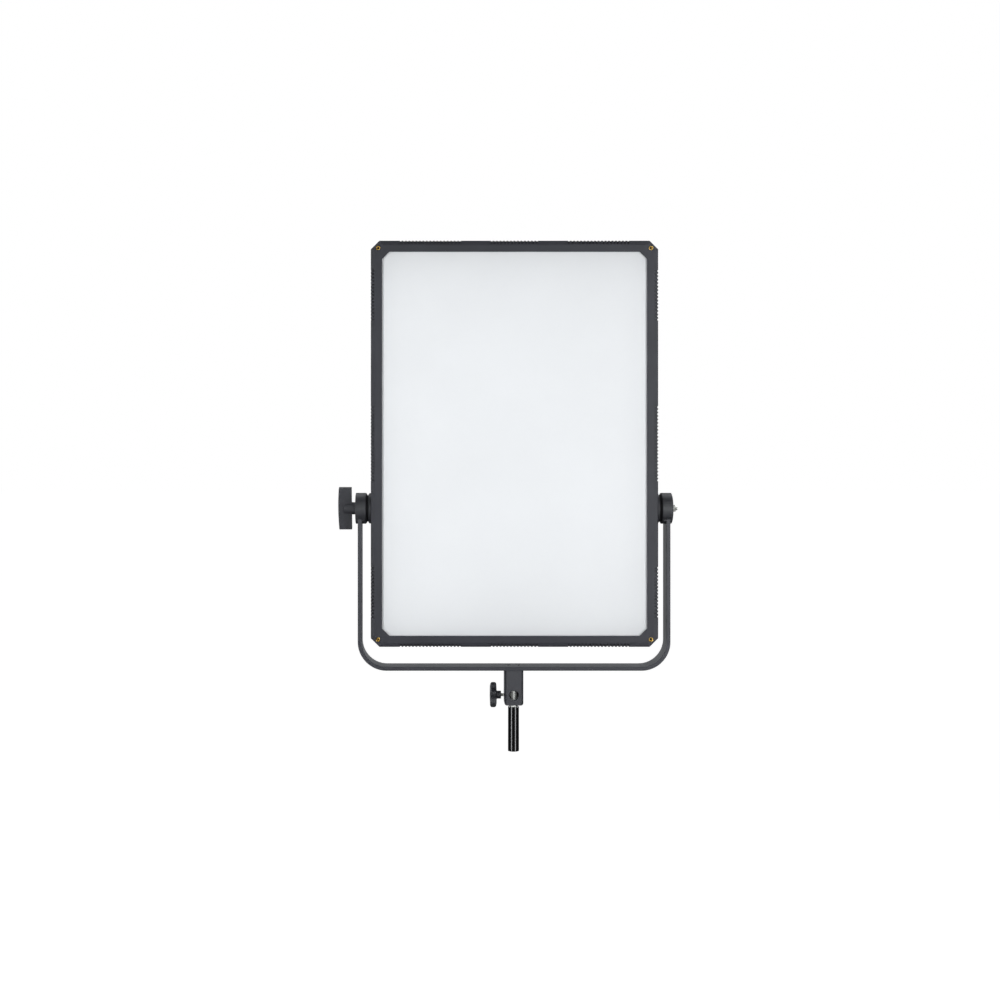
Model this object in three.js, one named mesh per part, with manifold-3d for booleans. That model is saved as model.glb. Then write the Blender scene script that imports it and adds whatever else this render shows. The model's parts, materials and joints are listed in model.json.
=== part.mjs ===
// A slim soft LED studio panel in its yoke, on the short 16 mm spigot pole that carries it.
// Millimetres, +Z up, -Y is the side that the light leaves from. The origin is the centre of the
// pole's foot, and the pole, the receiver, the yoke and the tilt axis all lie in the plane y = 0.
import * as THREE from 'three';
import { mergeVertices } from 'three/addons/utils/BufferGeometryUtils.js';
import Module from 'manifold-3d';

const wasm = await Module();
wasm.setup();

// ---- driving dimensions ----------------------------------------------------------------------

const GAP = 0.3;                     // air between pieces that touch

// spigot pole and its bright stud
const POLE_RADIUS = 8.4;
const POLE_BORE = 6.6;
const POLE_TOP = 68;
const PLUG_LENGTH = 12;
const STUD_RADIUS = 8;
const STUD_NECK = 6.3;
const STUD_FOOT = 40;
const STUD_COLLAR = 3.6;             // height of the stud's collar under its waist
const STUD_TOP = 112;

// receiver block under the yoke
const RECEIVER_BOTTOM = 71.7;
const RECEIVER_HEIGHT = 53;
const RECEIVER_SIDE = 28.8;
const RECEIVER_CORNER = 4;
const RECEIVER_BORE = 8.4;
const RECEIVER_BORE_DEPTH = 43;
const SIGHT_HOLE_RADIUS = 7.2;
const CLAMP_Z = RECEIVER_BOTTOM + 14;
const SIGHT_HOLE_Z = CLAMP_Z + 1.2;
const CLAMP_SCREW_RADIUS = 2.5;

// yoke
const YOKE_OUTER_HALF = 237.6;
const YOKE_THICKNESS = 6;
const YOKE_DEPTH = 34;
const YOKE_OUTER_RADIUS = 44;
const YOKE_BOTTOM = RECEIVER_BOTTOM + RECEIVER_HEIGHT + GAP;
const YOKE_TOP = YOKE_BOTTOM + YOKE_THICKNESS;   // upper face of the bar under the head
const YOKE_INNER_HALF = YOKE_OUTER_HALF - YOKE_THICKNESS;
const PIVOT_Z = YOKE_TOP + 240;

// head: the panel's outline, and depths measured back from its front face
const HEAD_HALF_W = 217.2;
const HEAD_HALF_H = 307;
const HEAD_ABOVE_PIVOT = 99;
const PIVOT_DEPTH = 30;              // tilt axis behind the front face
const CORNER_CHAMFER = 13;
const FRAME_DEPTH = 16;
const FRAME_LIP = 3;
const FRAME_WALL = 7;
const OPENING_HALF_W = 199.9;
const OPENING_HALF_H = 289.7;
const OPENING_CHAMFER = 11;
const HOUSING_DEPTH = 60;
const HOUSING_WALL = 2;
const HOUSING_EDGE = 6;              // slope between the housing's sides and its back
const BOX_DEPTH = 82;                // control box's back

// cooling notches round the front frame: [middle of the group, number of notches]
const NOTCH_PITCH = 5.26;
const NOTCH_WIDTH = 2.6;
const NOTCH_DEPTH = 4.8;
const NOTCH_LENGTH = 10;             // how far back a notch runs from the front face
const SIDE_NOTCHES = [[-224.5, 15], [0, 22], [224.5, 15]];
const END_NOTCHES = [[-127.2, 18], [0, 14], [127.2, 18]];

// pivot hardware, measured out from the head's middle along the tilt axis
const DISC_OUT = 222.1;
const DISC_RADIUS = 23.2;
const WASHER_OUT = 223.2;
const WASHER_RADIUS = 20;
const HUB_OUT = 241.3;
const HUB_RADIUS = 23.6;
const HUB_SLOPE = [1.9, 2.7];        // chamfer of the hub's inner edge, along and across the axis
const DISC_SLOPE = [1.7, 2.3];
const KNOB_NECK_RADIUS = 9.4;
const KNOB_IN = 248;
const KNOB_OUT = 268;
const KNOB_BOSS_OUT = 259.5;
const KNOB_BOSS_END_RADIUS = 5.7;
const KNOB_HALF_LENGTH = 31.7;
const KNOB_HALF_THICKNESS = 4.5;
const KNOB_BEVEL = 0.8;
const KNOB_BULGE = 1.8;              // how far the outer face's middle stands beyond its ends
const KNOB_REST_ANGLE = 13;          // degrees
const KNOB_INSERT_IN = HUB_OUT + 1.5;
const KNOB_INSERT_OUT = KNOB_IN + 0.8;
const KNOB_INSERT_RADIUS = 7;
const TILT_STUD_RADIUS = 5;
const TILT_STUD_HEAD = [9, 5.7];     // radius and thickness
const TILT_STUD_OUT = KNOB_IN + 3;
const PIVOT_STUD_RADIUS = 3;
const PIVOT_STUD_HEAD = [6, 4.7];
const PIVOT_STUD_OUT = HUB_OUT + 9.6;
const NUT_RADIUS = 5.8;
const NUT_HEIGHT = 5.2;
const PLAIN_WASHER = [6.6, 1.2];     // radius and thickness

// control box on the back, its middle measured from the tilt axis
const BOX_HALF_W = 104;
const BOX_HALF_H = 82;
const BOX_MIDDLE_Z = -6;
const BOX_WALL = 2.5;

// ---- materials -------------------------------------------------------------------------------

const standard = (color, roughness, metalness) =>
    new THREE.MeshStandardMaterial({ color, roughness, metalness });

const material = {
    coatedAlloy: standard(0x3b3b40, 0.55, 0.3),
    coatedBar: standard(0x46464b, 0.5, 0.4),
    blackPlastic: standard(0x26272a, 0.6, 0),
    softBlack: standard(0x151516, 0.8, 0),
    glossBlack: standard(0x0b0b0c, 0.2, 0.2),
    milkAcrylic: standard(0xeceef1, 0.35, 0),
    clearAcrylic: standard(0xdfe6ea, 0.1, 0),
    whiteFilm: standard(0xf4f5f5, 0.6, 0),
    bareAluminium: standard(0xb4b6b8, 0.4, 0.9),
    brightSteel: standard(0xc9cacb, 0.2, 1),
    brass: standard(0xb8913f, 0.35, 1),
    circuitBoard: standard(0x14402a, 0.6, 0),
};

// ---- solids ----------------------------------------------------------------------------------

// A closed geometry as a manifold-3d solid.
function toSolid(geometry) {
    const bare = geometry.index ? geometry.toNonIndexed() : geometry.clone();
    bare.deleteAttribute('normal');
    bare.deleteAttribute('uv');
    const merged = mergeVertices(bare, 1e-3);
    return new wasm.Manifold(new wasm.Mesh({
        numProp: 3,
        vertProperties: merged.attributes.position.array,
        triVerts: new Uint32Array(merged.index.array),
    }));
}

function toGeometry(solid) {
    const mesh = solid.getMesh();
    const geometry = new THREE.BufferGeometry();
    geometry.setAttribute('position', new THREE.BufferAttribute(mesh.vertProperties.slice(), 3));
    geometry.setIndex(new THREE.BufferAttribute(mesh.triVerts.slice(), 1));
    geometry.computeVertexNormals();
    return geometry;
}

function cut(base, ...tools) {
    return toGeometry(tools.reduce((solid, tool) => solid.subtract(toSolid(tool)), toSolid(base)));
}

function join(first, ...others) {
    return toGeometry(others.reduce((solid, other) => solid.add(toSolid(other)), toSolid(first)));
}

// A box between two corners.
function block([x0, y0, z0], [x1, y1, z1]) {
    return new THREE.BoxGeometry(x1 - x0, y1 - y0, z1 - z0)
        .translate((x0 + x1) / 2, (y0 + y1) / 2, (z0 + z1) / 2);
}

// A turned piece about Z, from a profile of [radius, height] points that starts and ends on the
// axis, or closes on itself. The profile runs upwards on its outer side.
function turnedZ(profile, segments = 24) {
    return new THREE.LatheGeometry(profile.map(([r, h]) => new THREE.Vector2(r, h)), segments)
        .rotateX(Math.PI / 2);
}

const turnedX = (profile, segments) => turnedZ(profile, segments).rotateY(Math.PI / 2);
const turnedY = (profile, segments) => turnedZ(profile, segments).rotateX(-Math.PI / 2);

const rod = (radius, from, to) => [[0, from], [radius, from], [radius, to], [0, to]];

const ring = (inner, outer, from, to) =>
    [[inner, from], [outer, from], [outer, to], [inner, to], [inner, from]];

// An outline drawn in x and z, as a slab between two values of y.
function slabY(outline, front, back, options = {}) {
    return new THREE.ExtrudeGeometry(outline, { depth: back - front, bevelEnabled: false, ...options })
        .rotateX(Math.PI / 2)
        .translate(0, back, 0);
}

const shapeOf = (points) => new THREE.Shape(points.map(([x, z]) => new THREE.Vector2(x, z)));

// A rectangle with its corners cut off, counter-clockwise.
function chamferedPoints(halfW, halfH, leg, middleZ = 0) {
    const corners = [
        [halfW, -halfH + leg], [halfW, halfH - leg], [halfW - leg, halfH], [-halfW + leg, halfH],
        [-halfW, halfH - leg], [-halfW, -halfH + leg], [-halfW + leg, -halfH], [halfW - leg, -halfH],
    ];
    return corners.map(([x, z]) => [x, z + middleZ]);
}

const chamfered = (...sizes) => shapeOf(chamferedPoints(...sizes));

function mesh(name, geometry, finish) {
    const made = new THREE.Mesh(geometry, finish);
    made.name = name;
    return made;
}

// A piece made once for the right-hand side, and turned half round Z for the left.
function onSide(side, geometry) {
    return side === 'right' ? geometry : geometry.clone().rotateZ(Math.PI);
}

// ---- spigot ----------------------------------------------------------------------------------

function makeSpigot() {
    const group = new THREE.Group();
    const waistTop = CLAMP_Z + 7;
    const waistBottom = CLAMP_Z - 7;
    const slope = STUD_RADIUS - STUD_NECK;
    group.add(
        mesh('pole_plug', turnedZ(rod(POLE_BORE - GAP, 0, PLUG_LENGTH)), material.softBlack),
        mesh('spigot_pole', turnedZ(ring(POLE_BORE, POLE_RADIUS, 0, POLE_TOP)), material.glossBlack),
        mesh('spigot_stud', turnedZ([
            [0, STUD_FOOT], [STUD_NECK, STUD_FOOT], [STUD_NECK, waistBottom - slope - STUD_COLLAR],
            [STUD_RADIUS, waistBottom - STUD_COLLAR], [STUD_RADIUS, waistBottom - slope],
            [STUD_NECK, waistBottom], [STUD_NECK, waistTop], [STUD_RADIUS, waistTop + slope],
            [STUD_RADIUS, STUD_TOP - 1.5], [STUD_RADIUS - 1.5, STUD_TOP], [0, STUD_TOP],
        ]), material.brightSteel),
    );
    return group;
}

// ---- yoke ------------------------------------------------------------------------------------

// The U of the yoke in x and z, with its arms ending at the tilt axis.
function yokeOutline() {
    const outer = YOKE_OUTER_RADIUS;
    const inner = YOKE_OUTER_RADIUS - YOKE_THICKNESS;
    const bendX = YOKE_OUTER_HALF - outer;
    const bendZ = YOKE_BOTTOM + outer;
    const shape = new THREE.Shape();
    shape.moveTo(-YOKE_OUTER_HALF, PIVOT_Z);
    shape.absarc(-bendX, bendZ, outer, Math.PI, 1.5 * Math.PI);
    shape.absarc(bendX, bendZ, outer, 1.5 * Math.PI, 2 * Math.PI);
    shape.lineTo(YOKE_OUTER_HALF, PIVOT_Z);
    shape.lineTo(YOKE_INNER_HALF, PIVOT_Z);
    shape.absarc(bendX, bendZ, inner, 2 * Math.PI, 1.5 * Math.PI, true);
    shape.absarc(-bendX, bendZ, inner, 1.5 * Math.PI, Math.PI, true);
    shape.lineTo(-YOKE_INNER_HALF, PIVOT_Z);
    return shape;
}

const SCREW_X = 8;                   // receiver screws, either side of the middle
const SCREW_HEAD = 4.6;
const SCREW_SHANK = 2.4;
const SCREW_LENGTH = 12;
const SCREW_SEAT = 3;                // where the countersunk head starts, above the yoke's underside
const SCREW_SOCKET = 1.7;
const TAPPED_DEPTH = 7.2;
const BUSH_RADIUS = 7;

function makeYokeBar() {
    const u = slabY(yokeOutline(), -YOKE_DEPTH / 2, YOKE_DEPTH / 2, { curveSegments: 10 });
    const pivotAt = (geometry) => geometry.translate(0, 0, PIVOT_Z);
    const roundEnd = turnedX(rod(YOKE_DEPTH / 2, YOKE_INNER_HALF, YOKE_OUTER_HALF), 32);
    const bore = turnedX(rod(BUSH_RADIUS + GAP, YOKE_INNER_HALF - 1, YOKE_OUTER_HALF + 1), 24);
    const screwHoles = [-SCREW_X, SCREW_X].map((x) => turnedZ([
        [0, YOKE_BOTTOM - 1], [SCREW_SHANK + GAP, YOKE_BOTTOM - 1],
        [SCREW_SHANK + GAP, YOKE_BOTTOM + SCREW_SEAT - GAP], [SCREW_HEAD + GAP, YOKE_TOP - GAP],
        [SCREW_HEAD + GAP, YOKE_TOP + 1], [0, YOKE_TOP + 1],
    ], 16).translate(x, 0, 0));
    const ends = ['right', 'left'].map((side) => pivotAt(onSide(side, roundEnd.clone())));
    const bores = ['right', 'left'].map((side) => pivotAt(onSide(side, bore.clone())));
    return mesh('yoke_bar', cut(join(u, ...ends), ...bores, ...screwHoles), material.coatedBar);
}

function makeReceiver() {
    const half = RECEIVER_SIDE / 2;
    const corner = RECEIVER_CORNER;
    const top = RECEIVER_BOTTOM + RECEIVER_HEIGHT;
    const socketTop = RECEIVER_BOTTOM + RECEIVER_BORE_DEPTH;
    const outline = new THREE.Shape();
    outline.moveTo(-half, top);
    outline.absarc(-half + corner, RECEIVER_BOTTOM + corner, corner, Math.PI, 1.5 * Math.PI);
    outline.absarc(half - corner, RECEIVER_BOTTOM + corner, corner, 1.5 * Math.PI, 2 * Math.PI);
    outline.lineTo(half, top);
    const body = slabY(outline, -half, half, { curveSegments: 5 });
    const socket = turnedZ(rod(RECEIVER_BORE, RECEIVER_BOTTOM - 1, socketTop));
    const sightHole = turnedY(rod(SIGHT_HOLE_RADIUS, 0, half + 1), 28)
        .rotateZ(Math.PI).translate(0, 0, SIGHT_HOLE_Z);
    const screwWay = turnedX(rod(CLAMP_SCREW_RADIUS + GAP, -half - 1, 0), 20)
        .translate(0, 0, CLAMP_Z);
    const tapped = [-SCREW_X, SCREW_X].map((x) => turnedZ(
        rod(SCREW_SHANK + GAP, top - TAPPED_DEPTH, YOKE_BOTTOM + 1), 16)
        .translate(x, 0, 0));
    return mesh('stand_receiver', cut(body, socket, sightHole, screwWay, ...tapped),
        material.coatedBar);
}

// A countersunk socket screw that holds the receiver to the yoke.
function makeReceiverScrew(side, x) {
    const end = YOKE_TOP - SCREW_LENGTH;
    const body = turnedZ([
        [0, end], [SCREW_SHANK, end], [SCREW_SHANK, YOKE_BOTTOM + SCREW_SEAT],
        [SCREW_HEAD, YOKE_TOP - GAP], [0, YOKE_TOP - GAP],
    ], 16);
    const socket = new THREE.CylinderGeometry(SCREW_SOCKET, SCREW_SOCKET, 4, 6)
        .rotateX(Math.PI / 2).translate(0, 0, YOKE_TOP);
    return mesh('receiver_screw_' + side, cut(body, socket).translate(x, 0, 0),
        material.softBlack);
}

const BUSH_FLANGE = 1.6;             // how far the flange stands out from the bush
const BUSH_FLANGE_OUT = 239.2;

// A plastic hub that wraps the end of one arm, with a slot that the arm goes up into.
function makeHub(side) {
    const studBore = side === 'left' ? TILT_STUD_RADIUS : PIVOT_STUD_RADIUS;
    const [along, across] = HUB_SLOPE;
    const hubIn = WASHER_OUT + GAP;
    const body = turnedX([
        [0, hubIn], [HUB_RADIUS - across, hubIn], [HUB_RADIUS, hubIn + along],
        [HUB_RADIUS, HUB_OUT - 1.3], [HUB_RADIUS - 1.6, HUB_OUT], [0, HUB_OUT],
    ], 36);
    const armHalf = YOKE_DEPTH / 2 + GAP;
    const slotIn = YOKE_INNER_HALF - GAP;
    const slotOut = YOKE_OUTER_HALF + GAP;
    const tools = [
        turnedX(rod(armHalf, slotIn, slotOut), 32),
        block([slotIn, -armHalf, -HUB_RADIUS - 1], [slotOut, armHalf, 0]),
        turnedX(rod(studBore + GAP, WASHER_OUT - 1, HUB_OUT + 1)),
        turnedX(rod(BUSH_RADIUS + BUSH_FLANGE + GAP, YOKE_OUTER_HALF - 1, BUSH_FLANGE_OUT + GAP)),
    ];
    return mesh('hub_' + side, onSide(side, cut(body, ...tools)), material.blackPlastic);
}

// A flanged nylon bush between the arm and the stud that the head turns on.
function makeBush(side) {
    const bore = (side === 'left' ? TILT_STUD_RADIUS : PIVOT_STUD_RADIUS) + GAP;
    const flangeIn = YOKE_OUTER_HALF + GAP;
    return mesh('pivot_bush_' + side, onSide(side, turnedX([
        [bore, YOKE_INNER_HALF], [BUSH_RADIUS, YOKE_INNER_HALF], [BUSH_RADIUS, flangeIn],
        [BUSH_RADIUS + BUSH_FLANGE, flangeIn], [BUSH_RADIUS + BUSH_FLANGE, BUSH_FLANGE_OUT],
        [bore, BUSH_FLANGE_OUT], [bore, YOKE_INNER_HALF],
    ])), material.whiteFilm);
}

function makeYoke() {
    const group = new THREE.Group();
    group.add(
        makeYokeBar(), makeReceiver(),
        makeReceiverScrew('left', -SCREW_X), makeReceiverScrew('right', SCREW_X),
    );
    const pivot = new THREE.Group();
    pivot.position.z = PIVOT_Z;
    for (const side of ['left', 'right']) pivot.add(makeHub(side), makeBush(side));
    group.add(pivot);
    return group;
}

// ---- clamp knob on the receiver --------------------------------------------------------------

const STAR_OUT = 35.8;
const STAR_IN = 26.3;
const STAR_HUB_IN = 19.2;
const STAR_HUB_RADIUS = 6;
const STAR_RADIUS = 17.2;
const STAR_LOBE = 2.1;
const STAR_LOBES = 6;
const STAR_TURN = THREE.MathUtils.degToRad(26); // from the front up to the next lobe
const CLAMP_SCREW_OUT = 31.5;
const CLAMP_SCREW_IN = STUD_NECK + 0.6;

// The knob's lobed outline, with a lobe on its first axis.
function starOutline(steps = 48) {
    return shapeOf(Array.from({ length: steps }, (_, i) => {
        const angle = (i / steps) * 2 * Math.PI;
        const radius = STAR_RADIUS + STAR_LOBE * Math.cos(STAR_LOBES * angle);
        return [radius * Math.cos(angle), radius * Math.sin(angle)];
    }));
}

function makeClampKnob() {
    const group = new THREE.Group();
    group.position.z = CLAMP_Z;
    const star = new THREE.ExtrudeGeometry(starOutline(),
        { depth: STAR_OUT - STAR_IN, bevelEnabled: false })
        .rotateZ(Math.PI / 2 - STAR_TURN).rotateY(Math.PI / 2).translate(-STAR_OUT, 0, 0);
    const hub = turnedX(rod(STAR_HUB_RADIUS, -STAR_IN - 1, -STAR_HUB_IN), 24);
    const bore = turnedX(
        rod(CLAMP_SCREW_RADIUS + GAP, -CLAMP_SCREW_OUT - 0.5, -STAR_HUB_IN + 1), 20);
    group.add(
        mesh('clamp_knob', cut(join(star, hub), bore), material.blackPlastic),
        mesh('clamp_screw', turnedX([
            [0, -CLAMP_SCREW_OUT], [CLAMP_SCREW_RADIUS, -CLAMP_SCREW_OUT],
            [CLAMP_SCREW_RADIUS, -CLAMP_SCREW_IN - 1], [CLAMP_SCREW_RADIUS - 1, -CLAMP_SCREW_IN],
            [0, -CLAMP_SCREW_IN],
        ], 20), material.brightSteel),
    );
    return group;
}

// ---- tilt lock knob --------------------------------------------------------------------------

function makeTiltKnob() {
    const group = new THREE.Group();
    group.position.z = PIVOT_Z;
    group.rotation.x = THREE.MathUtils.degToRad(KNOB_REST_ANGLE);
    const endZ = KNOB_HALF_LENGTH - KNOB_BEVEL;
    const inX = -KNOB_IN - KNOB_BEVEL;
    const endX = -KNOB_OUT + KNOB_BULGE + KNOB_BEVEL;
    const outline = new THREE.Shape();
    outline.moveTo(inX, -endZ);
    outline.lineTo(inX, endZ);
    outline.lineTo(endX, endZ);
    outline.quadraticCurveTo(endX - 2 * KNOB_BULGE, 0, endX, -endZ);
    const halfSlab = KNOB_HALF_THICKNESS - KNOB_BEVEL;
    const wings = slabY(outline, -halfSlab, halfSlab, {
        bevelEnabled: true, bevelSize: KNOB_BEVEL, bevelThickness: KNOB_BEVEL, bevelSegments: 1,
        curveSegments: 8,
    });
    const boss = turnedX([
        [0, -KNOB_BOSS_OUT], [KNOB_BOSS_END_RADIUS, -KNOB_BOSS_OUT], [KNOB_NECK_RADIUS, -KNOB_IN],
        [KNOB_NECK_RADIUS, -HUB_OUT - GAP], [0, -HUB_OUT - GAP],
    ], 28);
    const studBore = TILT_STUD_RADIUS + GAP;
    const bore = turnedX(rod(studBore, -TILT_STUD_OUT - 1, -HUB_OUT + 1), 20);
    const pocket = turnedX(rod(KNOB_INSERT_RADIUS + GAP, -KNOB_INSERT_OUT - GAP, -HUB_OUT + 1), 20);
    group.add(
        mesh('tilt_knob', cut(join(wings, boss), bore, pocket), material.blackPlastic),
        mesh('knob_insert', turnedX(
            ring(studBore, KNOB_INSERT_RADIUS, -KNOB_INSERT_OUT, -KNOB_INSERT_IN), 20),
        material.brass),
    );
    return group;
}

// ---- head: front frame -----------------------------------------------------------------------

const depthAt = (depth) => depth - PIVOT_DEPTH;   // y of a depth behind the front face

// One side of the frame's outline, walked along u at distance `face` from the middle, with its
// groups of notches. Gives [u, distance] pairs.
function notchedSide(face, groups) {
    return groups.flatMap(([middle, count]) => Array.from({ length: count }, (_, i) => {
        const u = middle + (i - (count - 1) / 2) * NOTCH_PITCH;
        const before = u - NOTCH_WIDTH / 2;
        const after = u + NOTCH_WIDTH / 2;
        return [[before, face], [before, face - NOTCH_DEPTH], [after, face - NOTCH_DEPTH], [after, face]];
    }).flat());
}

// The frame's notched outline about the panel's middle, counter-clockwise from the bottom right.
function notchedOutline() {
    const w = HEAD_HALF_W;
    const h = HEAD_HALF_H;
    const c = CORNER_CHAMFER;
    const side = notchedSide(w, SIDE_NOTCHES);
    const end = notchedSide(h, END_NOTCHES);
    return shapeOf([
        [w, -h + c], ...side.map(([u, d]) => [d, u]), [w, h - c],
        [w - c, h], ...end.map(([u, d]) => [-u, d]), [-w + c, h],
        [-w, h - c], ...side.map(([u, d]) => [-d, -u]), [-w, -h + c],
        [-w + c, -h], ...end.map(([u, d]) => [u, -d]), [w - c, -h],
    ]);
}

const POCKET_CHAMFER = 26;           // corner of the pocket for the light stack, behind the lip
const INSERT_INSET = 11.1;
const INSERT_RADIUS = 3.2;
const INSERT_BORE = 1.7;
const INSERT_LENGTH = 8;
const INSERTS = [
    ['top_left', -1, 1], ['top_right', 1, 1], ['bottom_left', -1, -1], ['bottom_right', 1, -1],
];

const insertPlace = ([, sx, sz]) =>
    [sx * (HEAD_HALF_W - INSERT_INSET), 0, sz * (HEAD_HALF_H - INSERT_INSET)];

function makeFrontFrame() {
    const opening = chamfered(OPENING_HALF_W, OPENING_HALF_H, OPENING_CHAMFER);
    const notched = slabY(notchedOutline(), depthAt(0), depthAt(NOTCH_LENGTH));
    const plain = slabY(chamfered(HEAD_HALF_W, HEAD_HALF_H, CORNER_CHAMFER),
        depthAt(NOTCH_LENGTH), depthAt(FRAME_DEPTH));
    const window = slabY(opening, depthAt(-1), depthAt(FRAME_DEPTH + 1));
    const pocket = slabY(
        chamfered(HEAD_HALF_W - FRAME_WALL, HEAD_HALF_H - FRAME_WALL, POCKET_CHAMFER),
        depthAt(FRAME_LIP), depthAt(FRAME_DEPTH + 1));
    const holes = INSERTS.map((corner) => turnedY(
        rod(INSERT_RADIUS + GAP, depthAt(-1), depthAt(INSERT_LENGTH + 2)), 16)
        .translate(...insertPlace(corner)));
    return mesh('front_frame', cut(join(notched, plain), window, pocket, ...holes),
        material.coatedAlloy);
}

// A knurled brass insert, sunk just below the frame's face, that accessories screw into.
function makeInsert(corner) {
    const shape = ring(INSERT_BORE, INSERT_RADIUS, depthAt(0.2), depthAt(INSERT_LENGTH));
    return mesh('insert_' + corner[0], turnedY(shape, 16).translate(...insertPlace(corner)),
        material.brass);
}

// ---- head: the light stack -------------------------------------------------------------------

const RAIL_IN = 203;
const RAIL_OUT = 208.8;
const RAIL_OVER = HEAD_HALF_H - HEAD_HALF_W;   // how much further out the top and bottom rails are
const SIDE_RAIL_HALF = 268;
const END_RAIL_HALF = 178;
const RAIL_FRONT = 5.7;
const RAIL_BACK = 15.7;
const RAIL_FIN = 2.4;
const RAIL_FIN_PITCH = 40;
const STRIP_THICKNESS = 1.3;
const STRIP_BACK = 11.7;

// An aluminium rail with cooling fins on its outer side, along u at the given distance out.
function railPoints(inner, outer, half) {
    const finHalf = RAIL_FIN_PITCH / 2;
    const points = [[-half, inner], [half, inner], [half, outer]];
    for (let u = half - finHalf; u > -half; u -= RAIL_FIN_PITCH) {
        points.push([u, outer], [u, outer - RAIL_FIN], [u - finHalf, outer - RAIL_FIN],
            [u - finHalf, outer]);
    }
    const last = points[points.length - 1];
    if (last[0] < -half + 1) points.splice(-2);
    points.push([-half, last[0] < -half + 1 ? outer - RAIL_FIN : outer]);
    return points;
}

// Places [u, distance] outlines on the four sides of the head.
const sidePlaces = {
    right: { half: SIDE_RAIL_HALF, over: 0, place: ([u, d]) => [d, -u] },
    left: { half: SIDE_RAIL_HALF, over: 0, place: ([u, d]) => [-d, u] },
    top: { half: END_RAIL_HALF, over: RAIL_OVER, place: ([u, d]) => [u, d] },
    bottom: { half: END_RAIL_HALF, over: RAIL_OVER, place: ([u, d]) => [-u, -d] },
};

function makeRailAndStrip(name) {
    const { half, over, place } = sidePlaces[name];
    const rail = railPoints(RAIL_IN + over, RAIL_OUT + over, half).map(place);
    const stripOut = RAIL_IN - GAP + over;
    const stripIn = stripOut - STRIP_THICKNESS;
    const stripHalf = half - 3;
    const strip = [[-stripHalf, stripIn], [stripHalf, stripIn], [stripHalf, stripOut],
        [-stripHalf, stripOut]].map(place);
    return [
        mesh('led_rail_' + name, slabY(shapeOf(rail), depthAt(RAIL_FRONT), depthAt(RAIL_BACK)),
            material.bareAluminium),
        mesh('led_strip_' + name, slabY(shapeOf(strip), depthAt(RAIL_FRONT), depthAt(STRIP_BACK)),
            material.whiteFilm),
    ];
}

// The sheets behind the opening, front to back. `over` is how far a sheet reaches past the opening,
// `leg` its corner's chamfer, `front` and `back` are depths.
const SHEETS = [
    { name: 'diffuser', over: 5, leg: 17, front: 3.3, back: 5.3, finish: material.milkAcrylic },
    { name: 'light_guide', over: 1.1, leg: 12, front: 5.7, back: 9.7, finish: material.clearAcrylic },
    { name: 'reflector_sheet', over: 1.1, leg: 12, front: 10, back: 10.8, finish: material.whiteFilm },
    {
        name: 'heat_spreader', over: 1.1, leg: 12, front: 11.2, back: 13.2,
        finish: material.bareAluminium,
    },
];

function makeSheet({ name, over, leg, front, back, finish }) {
    const outline = chamfered(OPENING_HALF_W + over, OPENING_HALF_H + over, leg);
    return mesh(name, slabY(outline, depthAt(front), depthAt(back)), finish);
}

// ---- head: rear housing ----------------------------------------------------------------------

const HOUSING_HALF_W = HEAD_HALF_W - 0.5;
const HOUSING_HALF_H = HEAD_HALF_H - 0.5;
const LOUVRE_PITCH = 28;
const LOUVRE_WIDTH = 4;
const LOUVRE_ROWS = [[150, 60], [226, 60], [-157, 40]];   // [middle above the tilt axis, height]
const LOUVRE_COLUMNS = [-5, -4, -3, -2, 2, 3, 4, 5];
const CABLE_WAY = [60, 40];          // half width and half height
const SIDE_HOLE = 6;                 // radius of the studs' ways through the housing's sides

// A pan's outside or inside: an outline between two depths, sloping in at the back.
function panSolid(halfW, halfH, leg, slope, front, back) {
    const lower = chamferedPoints(halfW, halfH, leg);
    const upper = chamferedPoints(halfW - slope, halfH - slope, leg - slope * 0.4);
    const layers = [[lower, front], [lower, back - slope], [upper, back]];
    const count = lower.length;
    const position = layers.flatMap(([points, depth]) =>
        points.flatMap(([x, z]) => [x, depthAt(depth), z]));
    const index = [];
    for (let layer = 0; layer < layers.length - 1; layer++) {
        for (let i = 0; i < count; i++) {
            const a = layer * count + i;
            const b = layer * count + ((i + 1) % count);
            index.push(a, a + count, b, b, a + count, b + count);
        }
    }
    const lastLayer = (layers.length - 1) * count;
    for (let i = 1; i < count - 1; i++) {
        index.push(0, i, i + 1);
        index.push(lastLayer, lastLayer + i + 1, lastLayer + i);
    }
    const geometry = new THREE.BufferGeometry();
    geometry.setAttribute('position', new THREE.Float32BufferAttribute(position, 3));
    geometry.setIndex(index);
    return geometry;
}

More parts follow.
